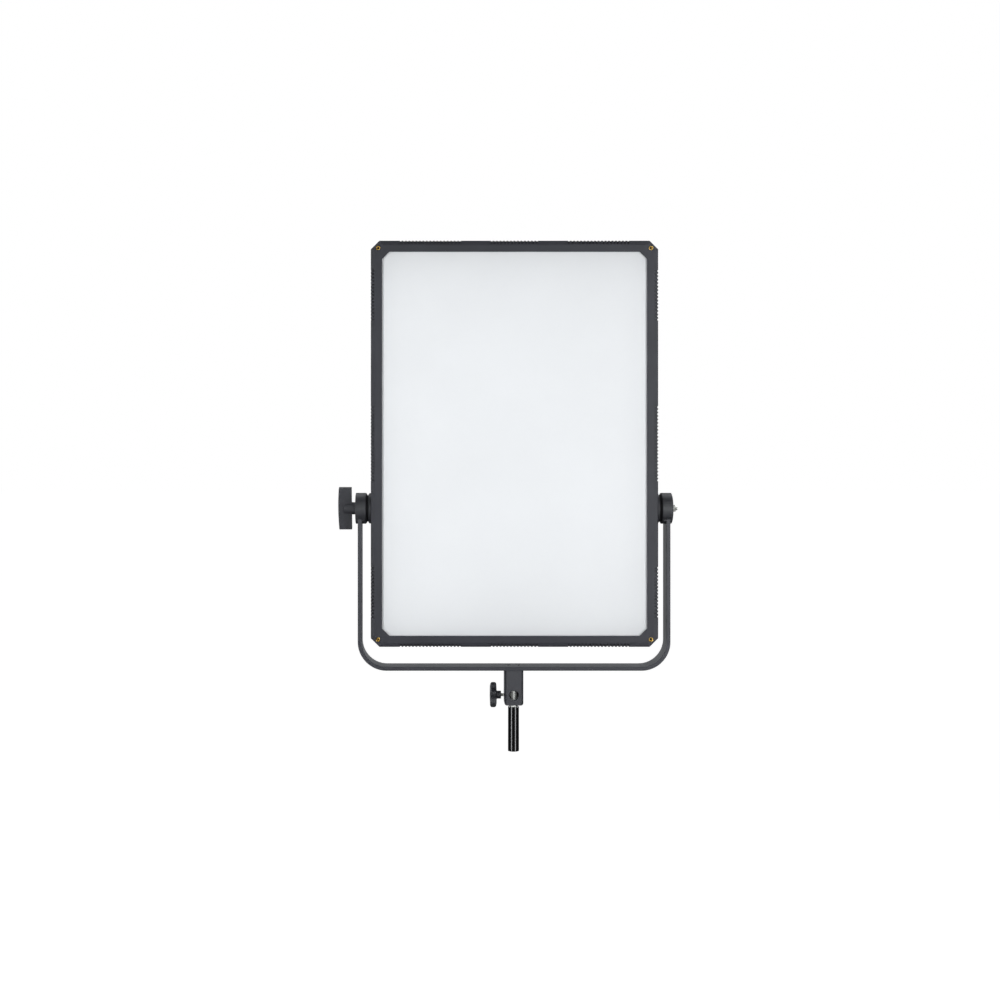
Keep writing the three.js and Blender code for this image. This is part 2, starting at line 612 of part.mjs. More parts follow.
function makeRearHousing() {
    const outside = panSolid(HOUSING_HALF_W, HOUSING_HALF_H, CORNER_CHAMFER, HOUSING_EDGE,
        FRAME_DEPTH + GAP, HOUSING_DEPTH);
    const inside = panSolid(HOUSING_HALF_W - HOUSING_WALL, HOUSING_HALF_H - HOUSING_WALL,
        CORNER_CHAMFER, HOUSING_EDGE, FRAME_DEPTH - 1, HOUSING_DEPTH - HOUSING_WALL);
    const backCut = (x0, x1, z0, z1) => block([x0, depthAt(HOUSING_DEPTH - 5), z0],
        [x1, depthAt(HOUSING_DEPTH + 1), z1]);
    const louvres = LOUVRE_ROWS.flatMap(([z, height]) => LOUVRE_COLUMNS.map((column) => {
        const x = column * LOUVRE_PITCH;
        const middle = z - HEAD_ABOVE_PIVOT;
        return backCut(x - LOUVRE_WIDTH / 2, x + LOUVRE_WIDTH / 2,
            middle - height / 2, middle + height / 2);
    }));
    const [wayHalfW, wayHalfH] = CABLE_WAY;
    const boxMiddle = BOX_MIDDLE_Z - HEAD_ABOVE_PIVOT;
    const cableWay = backCut(-wayHalfW, wayHalfW, boxMiddle - wayHalfH, boxMiddle + wayHalfH);
    const pivotHole = turnedX(rod(SIDE_HOLE + GAP, -HEAD_HALF_W - 2, HEAD_HALF_W + 2), 24)
        .translate(0, 0, -HEAD_ABOVE_PIVOT);
    return mesh('rear_housing', cut(outside, inside, ...louvres, cableWay, pivotHole),
        material.coatedAlloy);
}

// ---- head: pivot hardware --------------------------------------------------------------------

const BRACKET_IN = 208;
const BRACKET_OUT = HOUSING_HALF_W - HOUSING_WALL - GAP;
const BRACKET_HALF_H = 34;
const BRACKET_FOOT = [24, 2];        // how far the foot reaches inwards, and its thickness
const BRACKET_FRONT_Y = -12;
const BRACKET_BACK_Y = 20;

function makePivotSide(side) {
    const isLeft = side === 'left';
    const studRadius = isLeft ? TILT_STUD_RADIUS : PIVOT_STUD_RADIUS;
    const bored = studRadius + GAP;
    const discIn = HEAD_HALF_W + GAP;
    const [along, across] = DISC_SLOPE;
    const base = mesh('base_disc_' + side, onSide(side, turnedX([
        [bored, discIn], [DISC_RADIUS, discIn], [DISC_RADIUS, DISC_OUT - along],
        [DISC_RADIUS - across, DISC_OUT], [bored, DISC_OUT], [bored, discIn],
    ], 32)), material.blackPlastic);
    const washer = mesh('friction_washer_' + side, onSide(side, turnedX(
        ring(bored, WASHER_RADIUS, DISC_OUT + GAP, WASHER_OUT), 28)), material.softBlack);
    const [footReach, footThickness] = BRACKET_FOOT;
    const farCorner = [BRACKET_OUT, BRACKET_BACK_Y, BRACKET_HALF_H];
    const plate = block([BRACKET_IN, BRACKET_FRONT_Y, -BRACKET_HALF_H], farCorner);
    const foot = block([BRACKET_IN - footReach, BRACKET_BACK_Y - footThickness, -BRACKET_HALF_H],
        farCorner);
    const bore = turnedX(rod(bored, BRACKET_IN - 1, BRACKET_OUT + 1), 24);
    const bracket = mesh('pivot_bracket_' + side,
        cut(join(plate, foot), bore).rotateY(isLeft ? Math.PI : 0), material.bareAluminium);
    return [base, washer, bracket];
}

function makePivotStuds() {
    const headOut = BRACKET_IN - GAP;
    const [tiltHeadRadius, tiltHeadThickness] = TILT_STUD_HEAD;
    const [pivotHeadRadius, pivotHeadThickness] = PIVOT_STUD_HEAD;
    const tiltHeadIn = headOut - tiltHeadThickness;
    const pivotHeadIn = headOut - pivotHeadThickness;
    const tiltStud = turnedX([
        [0, -TILT_STUD_OUT], [TILT_STUD_RADIUS, -TILT_STUD_OUT], [TILT_STUD_RADIUS, -headOut],
        [tiltHeadRadius, -headOut], [tiltHeadRadius, -tiltHeadIn], [0, -tiltHeadIn],
    ], 28);
    const pivotStud = turnedX([
        [0, pivotHeadIn], [pivotHeadRadius, pivotHeadIn], [pivotHeadRadius, headOut],
        [PIVOT_STUD_RADIUS, headOut], [PIVOT_STUD_RADIUS, PIVOT_STUD_OUT - 1],
        [PIVOT_STUD_RADIUS - 0.8, PIVOT_STUD_OUT], [0, PIVOT_STUD_OUT],
    ], 24);
    const [washerRadius, washerHeight] = PLAIN_WASHER;
    const washerIn = HUB_OUT + GAP;
    const nutIn = washerIn + washerHeight + GAP;
    const hexagon = new THREE.CylinderGeometry(NUT_RADIUS, NUT_RADIUS, NUT_HEIGHT, 6)
        .rotateZ(Math.PI / 2).translate(nutIn + NUT_HEIGHT / 2, 0, 0);
    const bored = PIVOT_STUD_RADIUS + GAP;
    const nutBore = turnedX(rod(bored, nutIn - 1, nutIn + NUT_HEIGHT + 1), 24);
    return [
        mesh('tilt_stud', tiltStud, material.brightSteel),
        mesh('pivot_stud', pivotStud, material.brightSteel),
        mesh('pivot_nut', cut(hexagon, nutBore), material.brightSteel),
        mesh('pivot_washer', turnedX(
            ring(bored, washerRadius, washerIn, washerIn + washerHeight), 32),
        material.brightSteel),
    ];
}

// ---- head: control box and its sockets -------------------------------------------------------

const DISPLAY = { x: 0, z: 40, halfW: 37, halfH: 23 };
const ENCODER_X = 70;
const ENCODER_Z = 28;
const ENCODER_RADIUS = 11;
const BUTTON_Z = 2;
const BUTTON_SPACING = 26;
const BUTTON_HALF = [8, 4];
const BUTTON_TRAVEL = 1;
const SOCKET_Z = -48;
const SWITCH = { x: 36, halfW: 10.5, halfH: 14 };
const INLET = { x: 74, halfW: 15, halfH: 12.5 };
const DATA = { halfW: 9, halfH: 8 };
const DATA_X = { data_in: -78, data_out: -50 };
const USB = { x: -18, halfW: 5.2, halfH: 2.4 };
const ENCODER_SHAFT = 3.2;
const ENCODER_HEIGHT = 14;
const SOCKET_FLOOR = 2.5;
const SWITCH_WALL = 1.8;
const FACE_PROUD = 0.6;              // how far the sockets' rims stand out of the box's face
const ENCODERS = { dim_knob: -ENCODER_X, colour_knob: ENCODER_X };
const BUTTONS = { menu_button: -BUTTON_SPACING, mode_button: 0, back_button: BUTTON_SPACING };

const boxZ = (z) => z + BOX_MIDDLE_Z;

// A rectangular block through part of the box's back face, about a place on it.
function faceBlock(x, z, halfW, halfH, front, back) {
    return block([x - halfW, depthAt(front), boxZ(z) - halfH],
        [x + halfW, depthAt(back), boxZ(z) + halfH]);
}

function makeControlBox() {
    const frontDepth = HOUSING_DEPTH + GAP;
    const at = (geometry) => geometry.translate(0, 0, BOX_MIDDLE_Z);
    const outside = at(panSolid(BOX_HALF_W, BOX_HALF_H, 10, 4, frontDepth, BOX_DEPTH));
    const inside = at(panSolid(BOX_HALF_W - BOX_WALL, BOX_HALF_H - BOX_WALL, 9, 3,
        frontDepth - 1, BOX_DEPTH - BOX_WALL));
    const through = (x, z, halfW, halfH) =>
        faceBlock(x, z, halfW + GAP, halfH + GAP, BOX_DEPTH - 6, BOX_DEPTH + 1);
    const cuts = [
        through(DISPLAY.x, DISPLAY.z, DISPLAY.halfW, DISPLAY.halfH),
        through(SWITCH.x, SOCKET_Z, SWITCH.halfW, SWITCH.halfH),
        through(INLET.x, SOCKET_Z, INLET.halfW, INLET.halfH),
        through(USB.x, SOCKET_Z, USB.halfW, USB.halfH),
        ...Object.values(DATA_X).map((x) => through(x, SOCKET_Z, DATA.halfW, DATA.halfH)),
        ...Object.values(BUTTONS).map((x) => through(x, BUTTON_Z, ...BUTTON_HALF)),
        ...Object.values(ENCODERS).map((x) => turnedY(
            rod(ENCODER_SHAFT + 0.4, depthAt(BOX_DEPTH - 6), depthAt(BOX_DEPTH + 1)), 20)
            .translate(x, 0, boxZ(ENCODER_Z))),
    ];
    return mesh('control_box', cut(outside, inside, ...cuts), material.blackPlastic);
}

// A socket body set into the box's face, hollow towards the back.
function makeSocket(name, x, size, wall, depth, finish) {
    const { halfW, halfH } = size;
    const body = faceBlock(x, SOCKET_Z, halfW, halfH, BOX_DEPTH - depth, BOX_DEPTH + FACE_PROUD);
    const cavity = faceBlock(x, SOCKET_Z, halfW - wall, halfH - wall,
        BOX_DEPTH - depth + SOCKET_FLOOR, BOX_DEPTH + 2);
    return mesh(name, cut(body, cavity), finish);
}

function makeSockets() {
    return [
        makeSocket('mains_inlet', INLET.x, INLET, 2.6, 19, material.softBlack),
        makeSocket('data_in', DATA_X.data_in, DATA, 1.8, 17, material.brightSteel),
        makeSocket('data_out', DATA_X.data_out, DATA, 1.8, 17, material.brightSteel),
        makeSocket('usb_port', USB.x, USB, 0.9, 9, material.brightSteel),
        makeSocket('switch_frame', SWITCH.x, SWITCH, SWITCH_WALL, 16, material.softBlack),
    ];
}

function makeDisplay() {
    return mesh('display_window', faceBlock(DISPLAY.x, DISPLAY.z, DISPLAY.halfW, DISPLAY.halfH,
        BOX_DEPTH - 1.9, BOX_DEPTH - 0.3), material.glossBlack);
}

// The boards and the mains supply, inside the housing and the box: ranges of x and z, and depths.
const ELECTRONICS = [
    {
        name: 'power_supply', x: [70, 170], z: [-50, 100], depth: [20, 48],
        finish: material.bareAluminium,
    },
    {
        name: 'driver_board', x: [-180, -70], z: [-40, 110], depth: [30, 31.6],
        finish: material.circuitBoard,
    },
    {
        name: 'control_board', x: [-98, 98], z: [-14, 62], depth: [72, 73.6],
        finish: material.circuitBoard,
    },
];

function makeElectronics({ name, x, z, depth, finish }) {
    const [front, back] = depth.map(depthAt);
    return mesh(name, block([x[0], front, z[0]], [x[1], back, z[1]]), finish);
}

function makeEncoder(name, x) {
    const group = new THREE.Group();
    group.position.set(x, 0, boxZ(ENCODER_Z));
    const shaftIn = depthAt(BOX_DEPTH - 8);
    const knobIn = depthAt(BOX_DEPTH + 0.8);
    const knobOut = depthAt(BOX_DEPTH + ENCODER_HEIGHT);
    group.add(mesh(name, turnedY([
        [0, shaftIn], [ENCODER_SHAFT, shaftIn], [ENCODER_SHAFT, knobIn], [ENCODER_RADIUS, knobIn],
        [ENCODER_RADIUS, knobOut - 1], [ENCODER_RADIUS - 1, knobOut], [0, knobOut],
    ], 28), material.softBlack));
    return group;
}

function makeButton(name, x) {
    return mesh(name, faceBlock(x, BUTTON_Z, ...BUTTON_HALF,
        BOX_DEPTH - 4, BOX_DEPTH + FACE_PROUD + BUTTON_TRAVEL), material.softBlack);
}

// A rocker that rests with its upper half pressed in, turning on the middle of its frame.
const ROCKER_TURN = 22;              // degrees from one side to the other
const ROCKER_AXIS_DEPTH = BOX_DEPTH - 5;

function makeRocker() {
    const halfH = SWITCH.halfH - SWITCH_WALL - 1;
    const shape = shapeOf([[-halfH, 0.5], [-halfH + 1, -3], [halfH - 1, -3], [halfH, 0.5],
        [halfH - 0.4, 5.2], [0, 3.2], [-halfH + 0.4, 5.2]]);
    const halfW = SWITCH.halfW - SWITCH_WALL - 0.5;
    const geometry = new THREE.ExtrudeGeometry(shape, { depth: 2 * halfW, bevelEnabled: false })
        .translate(0, 0, -halfW).rotateY(Math.PI / 2);
    const rocker = mesh('power_rocker', geometry, material.softBlack);
    rocker.position.set(SWITCH.x, depthAt(ROCKER_AXIS_DEPTH), boxZ(SOCKET_Z));
    rocker.rotation.x = THREE.MathUtils.degToRad(ROCKER_TURN / 2);
    return rocker;
}

// ---- head assembly ---------------------------------------------------------------------------

function makeHead() {
    const head = new THREE.Group();
    head.position.z = PIVOT_Z;
    const panel = new THREE.Group();
    panel.position.z = HEAD_ABOVE_PIVOT;
    panel.add(
        makeFrontFrame(), ...INSERTS.map(makeInsert), ...SHEETS.map(makeSheet),
        ...Object.keys(sidePlaces).flatMap(makeRailAndStrip), makeRearHousing(),
    );
    head.add(
        panel, ...makePivotSide('left'), ...makePivotSide('right'), ...makePivotStuds(),
        makeControlBox(), makeDisplay(), ...makeSockets(),
        ...ELECTRONICS.map(makeElectronics),
        ...Object.entries(ENCODERS).map(([name, x]) => makeEncoder(name, x)),
        ...Object.entries(BUTTONS).map(([name, x]) => makeButton(name, x)), makeRocker(),
    );
    return head;
}

const light = new THREE.Group();
light.add(makeSpigot(), makeYoke(), makeClampKnob(), makeTiltKnob(), makeHead());

export default light;
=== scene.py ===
"""The looks of a soft LED studio panel in its yoke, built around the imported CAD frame.

Lengths are in millimetres until a mesh, a light or the camera is made. +X is to the right seen from
the side that the light leaves from, which is -Y, and +Z is up. Most pieces are drawn from the boxes
of the CAD nodes that they stand for.
"""
import json
import math

import bmesh
import bpy
from mathutils import Matrix, Vector


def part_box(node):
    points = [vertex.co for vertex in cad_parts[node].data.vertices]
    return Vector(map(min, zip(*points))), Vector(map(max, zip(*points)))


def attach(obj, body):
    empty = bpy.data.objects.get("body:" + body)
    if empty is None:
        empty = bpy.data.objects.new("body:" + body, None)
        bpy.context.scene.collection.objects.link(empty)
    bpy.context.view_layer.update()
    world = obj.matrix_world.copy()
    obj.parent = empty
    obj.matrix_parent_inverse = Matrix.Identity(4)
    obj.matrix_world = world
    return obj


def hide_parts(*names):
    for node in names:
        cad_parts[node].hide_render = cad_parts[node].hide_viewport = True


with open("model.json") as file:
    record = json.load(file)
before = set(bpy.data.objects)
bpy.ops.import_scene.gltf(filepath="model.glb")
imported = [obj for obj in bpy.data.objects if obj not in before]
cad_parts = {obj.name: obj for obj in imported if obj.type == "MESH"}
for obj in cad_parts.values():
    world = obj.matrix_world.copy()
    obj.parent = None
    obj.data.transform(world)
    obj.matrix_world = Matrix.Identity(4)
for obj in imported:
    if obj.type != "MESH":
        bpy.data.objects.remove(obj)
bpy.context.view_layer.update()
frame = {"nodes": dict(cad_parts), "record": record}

MM = 0.001
record = frame["record"]
body_of = {node: body for body, nodes in record["behaviour"]["bodies"].items() for node in nodes}
slot_of = {row["node"]: row["material_slot"] for row in record["subparts"]}


def box_of(node):
    low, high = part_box(node)
    return low / MM, high / MM


def middle_of(node):
    low, high = box_of(node)
    return (low + high) / 2


FRAME_LOW, FRAME_HIGH = box_of("front_frame")
HEAD = (FRAME_LOW + FRAME_HIGH) / 2
HALF_W = (FRAME_HIGH.x - FRAME_LOW.x) / 2
HALF_H = (FRAME_HIGH.z - FRAME_LOW.z) / 2
FRONT = FRAME_LOW.y
PIVOT = Vector((0, 0, middle_of("base_disc_left").z))


# ---- nodes -----------------------------------------------------------------------------------

def add(tree, kind, inputs=(), **settings):
    """A node with its settings, whose inputs are values or other nodes' outputs."""
    node = tree.nodes.new("ShaderNode" + kind)
    for name, value in settings.items():
        setattr(node, name, value)
    for socket, value in dict(inputs).items():
        if isinstance(value, bpy.types.NodeSocket):
            tree.links.new(value, node.inputs[socket])
        else:
            node.inputs[socket].default_value = value
    return node


def math_node(tree, operation, first, second=0.0):
    return add(tree, "Math", {0: first, 1: second}, operation=operation).outputs[0]


# ---- camera, light and floor -----------------------------------------------------------------

CAMERA_DISTANCE = 2150               # from the front face
CAMERA_X = -120
CAMERA_ABOVE_HEAD = 21
FIELD_AT_FACE = 1510                 # width of the view in the plane of the front face
SENSOR_WIDTH = 36
SHIFT_X = 0.0649                     # of the lens, in picture widths
SHIFT_Y = -0.0701
FLOOR_DROP = 900                     # the floor lies this far below the pole's foot
FLOOR_HALF = 30                      # metres
LIGHT_COLOUR = (0.945, 0.972, 1.0)
WORLD_SEEN = 1.0
WORLD_REFLECTED = 0.01
WORLD_LIGHT = 0.02


def make_camera():
    lens = bpy.data.cameras.new("camera")
    lens.sensor_width = SENSOR_WIDTH
    lens.lens = SENSOR_WIDTH * CAMERA_DISTANCE / FIELD_AT_FACE
    lens.shift_x = SHIFT_X
    lens.shift_y = SHIFT_Y
    lens.clip_start = 0.05
    camera = bpy.data.objects.new("camera", lens)
    place_at = Vector((CAMERA_X, FRONT - CAMERA_DISTANCE, HEAD.z + CAMERA_ABOVE_HEAD))
    camera.matrix_world = Matrix.Translation(place_at * MM) @ Matrix.Rotation(math.pi / 2, 4, "X")
    bpy.context.scene.collection.objects.link(camera)
    bpy.context.scene.camera = camera


def softbox(name, azimuth, elevation, distance, size, power):
    """An area light that looks at the head's middle, from an azimuth to the right of its front.

    Its distance and size are in metres.
    """
    lamp = bpy.data.lights.new(name, "AREA")
    lamp.shape = "RECTANGLE"
    lamp.size, lamp.size_y = size
    lamp.energy = power
    lamp.color = LIGHT_COLOUR
    a, e = math.radians(azimuth), math.radians(elevation)
    away = Vector((math.sin(a) * math.cos(e), -math.cos(a) * math.cos(e), math.sin(e)))
    held = bpy.data.objects.new(name, lamp)
    aim = away.to_track_quat("Z", "Y").to_matrix().to_4x4()
    middle = Vector((0, 0, HEAD.z * MM))
    held.matrix_world = Matrix.Translation(middle + away * distance) @ aim
    held.visible_camera = False
    bpy.context.scene.collection.objects.link(held)


def make_lights():
    """Two upright strips at the front, strongest half-way up, a small light between them, and soft
    light from above and behind."""
    for part, height, left, right in (("strip", 1.5, 4.75, 5.1), ("middle", 0.45, 2.3, 2.1)):
        softbox(part + "_left", -45, 0, 0.95, (0.24, height), left)
        softbox(part + "_right", 39, 0, 0.95, (0.24, height), right)
    softbox("front", 4, 0, 2.6, (0.6, 0.6), 10)
    softbox("overhead", 180, 66, 1.9, (2.2, 1.6), 20)
    softbox("backdrop", 180, 0, 3.0, (3.0, 2.2), 13)
    softbox("rear_left", -132, 12, 1.7, (0.5, 1.4), 14)
    softbox("rear_right", 132, 12, 1.7, (0.5, 1.4), 14)


def make_world():
    """White all round, dimmer as light and dimmer still in reflections, as in a dark studio."""
    world = bpy.data.worlds.new("studio")
    world.use_nodes = True
    tree = world.node_tree
    tree.nodes.clear()
    path = add(tree, "LightPath").outputs
    seen = math_node(tree, "MULTIPLY", path["Is Camera Ray"], WORLD_SEEN - WORLD_LIGHT)
    reflected = math_node(tree, "MULTIPLY", path["Is Glossy Ray"], WORLD_REFLECTED - WORLD_LIGHT)
    strength = math_node(tree, "ADD", math_node(tree, "ADD", seen, reflected), WORLD_LIGHT)
    background = add(tree, "Background", {"Color": (1, 1, 1, 1), "Strength": strength})
    add(tree, "OutputWorld", {"Surface": background.outputs[0]})
    bpy.context.scene.world = world


def make_floor():
    mesh = bpy.data.meshes.new("floor")
    corners = [(-1, -1), (1, -1), (1, 1), (-1, 1)]
    mesh.from_pydata([(x * FLOOR_HALF, y * FLOOR_HALF, -FLOOR_DROP * MM) for x, y in corners], [],
                     [(0, 1, 2, 3)])
    floor = bpy.data.objects.new("floor", mesh)
    bpy.context.scene.collection.objects.link(floor)
    made = bpy.data.materials.new("floor")
    made.use_nodes = True
    tree = made.node_tree
    shader = tree.nodes["Principled BSDF"]
    shader.inputs["Base Color"].default_value = (0.3, 0.3, 0.3, 1)
    shader.inputs["Roughness"].default_value = 0.9
    shader.inputs["Specular IOR Level"].default_value = 0.1
    shader.inputs["Emission Color"].default_value = (1, 1, 1, 1)
    seen = add(tree, "LightPath").outputs["Is Camera Ray"]
    tree.links.new(seen, shader.inputs["Emission Strength"])
    mesh.materials.append(made)


# ---- materials -------------------------------------------------------------------------------

def ramp(tree, factor, dark, light, low=0.3, high=0.7):
    node = add(tree, "ValToRGB", {"Fac": factor})
    node.color_ramp.elements[0].position = low
    node.color_ramp.elements[1].position = high
    node.color_ramp.elements[0].color = (*dark, 1)
    node.color_ramp.elements[1].color = (*light, 1)
    return node.outputs["Color"]


GRAIN_SHARE = 0.35                   # of a finish's fine grain in its colour


def finish(name, dark, light, gloss, grain, relief, metallic=0.0, stretch=(1, 1, 1), blotch=45,
           specular=0.5, coat=0.0):
    """A material that drifts between two tones over blotches, with a fine grain in relief and gloss.

    gloss is the lowest and highest roughness, and grain, relief and blotch are in millimetres.
    """
    made = bpy.data.materials.new(name)
    made.use_nodes = True
    tree = made.node_tree
    shader = tree.nodes["Principled BSDF"]
    point = add(tree, "TexCoord").outputs["Object"]
    drift = add(tree, "TexNoise", {"Vector": point, "Scale": 1 / (blotch * MM), "Detail": 4.0})
    stretched = add(tree, "Mapping", {"Vector": point, "Scale": stretch}).outputs[0]
    fine = add(tree, "TexNoise", {"Vector": stretched, "Scale": 1 / (grain * MM), "Detail": 3.0})
    speckle = add(tree, "Math", {0: fine.outputs[0], 1: GRAIN_SHARE, 2: -GRAIN_SHARE / 2},
                  operation="MULTIPLY_ADD").outputs[0]
    tone = math_node(tree, "ADD", drift.outputs[0], speckle)
    tree.links.new(ramp(tree, tone, dark, light), shader.inputs["Base Color"])
    rough = add(tree, "MapRange", {"Value": fine.outputs[0], "From Min": 0.3, "From Max": 0.7,
                                   "To Min": gloss[0], "To Max": gloss[1]})
    tree.links.new(rough.outputs[0], shader.inputs["Roughness"])
    bump = add(tree, "Bump", {"Height": fine.outputs[0], "Distance": relief * MM, "Strength": 1.0})
    tree.links.new(bump.outputs[0], shader.inputs["Normal"])
    shader.inputs["Metallic"].default_value = metallic
    shader.inputs["Specular IOR Level"].default_value = specular
    shader.inputs["Coat Weight"].default_value = coat
    shader.inputs["Coat Roughness"].default_value = gloss[1]
    return made


def grey(value, blue=0.0):
    return (value, value, value * (1 + blue))


FACE_INSET = 17                      # of the face's seen edge, from the frame's outside
SIDE_PAINTED_SHADE = (26, 0.1)             # how far in the painted shade of the frame's lip reaches, and how much darker the edge gets
END_PAINTED_SHADE = (30, 0.15)


def light_face():
    """Opal acrylic, brightest in the middle, with the frame lip's shade painted in towards its edges.
    """
    made = finish("milk_acrylic", grey(0.825), grey(0.855), (0.42, 0.5), 0.6, 0.004,
                  blotch=160, specular=0.3)
    tree = made.node_tree
    shader = tree.nodes["Principled BSDF"]
    base = shader.inputs["Base Color"].links[0].from_socket
    split = add(tree, "SeparateXYZ", {"Vector": add(tree, "TexCoord").outputs["Object"]})
    painted_shade = None
    reach = {"X": (HEAD.x, HALF_W - FACE_INSET, *SIDE_PAINTED_SHADE),
             "Z": (HEAD.z, HALF_H - FACE_INSET, *END_PAINTED_SHADE)}
    # painted shade: the colour gets darker towards each edge, where the frame's lip shades the face
    for axis, (centre, half, fall, amount) in reach.items():
        offset = math_node(tree, "SUBTRACT", split.outputs[axis], centre * MM)
        inside = math_node(tree, "SUBTRACT", half * MM, math_node(tree, "ABSOLUTE", offset))
        decay = math_node(tree, "EXPONENT", math_node(tree, "MULTIPLY", inside, -1 / (fall * MM)))
        painted_edge_shade = math_node(tree, "MULTIPLY", decay, amount)
        painted_shade = painted_edge_shade if painted_shade is None else math_node(tree, "ADD", painted_shade, painted_edge_shade)
    keep = math_node(tree, "SUBTRACT", 1.0, painted_shade)
    with_painted_shade = add(tree, "VectorMath", {0: base, "Scale": keep}, operation="SCALE").outputs[0]
    tree.links.new(with_painted_shade, shader.inputs["Base Color"])
    return made


def make_finishes():
    return {
        "coated_alloy": finish("coated_alloy", grey(0.0205, 0.28), grey(0.0265, 0.28), (0.42, 0.56),
                               0.5, 0.02, specular=0.48),
        "coated_bar": finish("coated_bar", grey(0.032, 0.2), grey(0.04, 0.2), (0.36, 0.5),
                             0.6, 0.025, specular=0.5),
        "coated_block": finish("coated_block", grey(0.0185, 0.3), grey(0.0235, 0.3), (0.36, 0.5),
                               0.6, 0.025, specular=1.0),
        "black_plastic": finish("black_plastic", grey(0.011, 0.28), grey(0.014, 0.28), (0.42, 0.58),
                                0.35, 0.03, specular=0.74),
        "matt_plastic": finish("matt_plastic", grey(0.016, 0.28), grey(0.021, 0.28), (0.6, 0.74), 0.35,
                               0.03, specular=0.75),
        "soft_black_plastic": finish("soft_black_plastic", grey(0.01, 0.15), grey(0.014, 0.15),
                                     (0.45, 0.6), 0.3, 0.02),
        "rubber": finish("rubber", grey(0.008), grey(0.012), (0.65, 0.85), 0.25, 0.02, specular=0.3),
        "black_oxide_steel": finish("black_oxide_steel", grey(0.02), grey(0.045), (0.28, 0.42), 0.8,
                                    0.006, metallic=0.8, blotch=6),
        "gloss_black_tube": finish("gloss_black_tube", grey(0.002), grey(0.003), (0.12, 0.15), 0.8,
                                   0.0002, stretch=(1, 1, 0.06), specular=1.0, coat=0.5),
        "display_glass": finish("display_glass", grey(0.004, 0.2), grey(0.006, 0.2), (0.04, 0.09), 3,
                                0.0005, coat=1.0),
        "milk_acrylic": light_face(),
        "clear_acrylic": finish("clear_acrylic", (0.72, 0.78, 0.8), (0.8, 0.85, 0.87), (0.05, 0.12), 2,
                                0.002),
        "white_film": finish("white_film", grey(0.78), grey(0.84), (0.5, 0.65), 0.5, 0.005),
        "nylon": finish("nylon", (0.62, 0.6, 0.53), (0.7, 0.68, 0.61), (0.4, 0.5), 0.8, 0.01),
        "bare_aluminium": finish("bare_aluminium", grey(0.52, 0.02), grey(0.62, 0.02), (0.3, 0.45),
                                 0.25, 0.008, metallic=1.0, stretch=(1, 1, 0.05)),
        "bright_steel": finish("bright_steel", grey(0.86, -0.06), grey(0.95, -0.06), (0.28, 0.38),
                               0.3, 0.004, metallic=1.0, stretch=(0.15, 0.15, 1), blotch=12),
        "satin_steel": finish("satin_steel", grey(0.9, -0.06), grey(0.98, -0.06), (0.4, 0.5), 0.3,
                              0.006, metallic=1.0, blotch=8),
        "brass": finish("brass", (0.62, 0.43, 0.14), (0.74, 0.54, 0.2), (0.2, 0.32), 0.3, 0.006,
                        metallic=1.0, blotch=3),
        "circuit_board": finish("circuit_board", (0.01, 0.07, 0.03), (0.02, 0.11, 0.05), (0.3, 0.45),
                                1.2, 0.03, blotch=8),
    }


# ---- outlines --------------------------------------------------------------------------------

LEG_LOSS = 2 - math.sqrt(2)          # of a cut-off corner's leg, for each millimetre of inset


def rounded(points, radius, steps=4, closed=True):
    """The same line with its corners rounded. A point's own third number overrides the radius."""
    count = len(points)
    line = []
    for i, point in enumerate(points):
        here = Vector(point[:2])
        reach = point[2] if len(point) > 2 else radius
        if reach == 0 or (not closed and i in (0, count - 1)):
            line.append(tuple(here))
            continue
        before = Vector(points[i - 1][:2]) - here
        after = Vector(points[(i + 1) % count][:2]) - here
        half_turn = before.angle(after) / 2
        run = min(reach / math.tan(half_turn), 0.48 * before.length, 0.48 * after.length)
        start, end = here + before.normalized() * run, here + after.normalized() * run
        for k in range(steps + 1):
            t = k / steps
            line.append(tuple(start * (1 - t) ** 2 + here * 2 * t * (1 - t) + end * t * t))
    return line


def rectangle(half_u, half_v, radius=0.0, steps=4, middle=(0, 0)):
    corners = [(half_u, -half_v), (half_u, half_v), (-half_u, half_v), (-half_u, -half_v)]
    return [(u + middle[0], v + middle[1]) for u, v in rounded(corners, radius, steps)]


def octagon(inset, leg, soft=2.0, steps=3, half=(HALF_W, HALF_H), middle=(HEAD.x, HEAD.z)):
    """A rectangle with its corners cut off, drawn in by an inset, in x and z."""
    w, h = half[0] - inset, half[1] - inset
    corners = [(w, -h + leg), (w, h - leg), (w - leg, h), (-w + leg, h),
               (-w, h - leg), (-w, -h + leg), (-w + leg, -h), (w - leg, -h)]
    return [(x + middle[0], z + middle[1]) for x, z in rounded(corners, soft, steps)]


def circle(radius, steps):
    turns = (2 * math.pi * i / steps for i in range(steps))
    return [(radius * math.cos(turn), radius * math.sin(turn)) for turn in turns]


# ---- solids ----------------------------------------------------------------------------------

def placed(axis, u, v, along):
    return {"X": (along, u, v), "Y": (u, along, v), "Z": (u, v, along)}[axis]


def build(name, points, faces):
    """A mesh object in the row frame from points in millimetres."""
    mesh = bpy.data.meshes.new(name)
    mesh.from_pydata([Vector(p) * MM for p in points], [], faces)
    edit = bmesh.new()
    edit.from_mesh(mesh)
    bmesh.ops.recalc_face_normals(edit, faces=edit.faces)
    edit.to_mesh(mesh)
    edit.free()
    made = bpy.data.objects.new(name, mesh)
    bpy.context.scene.collection.objects.link(made)
    return made


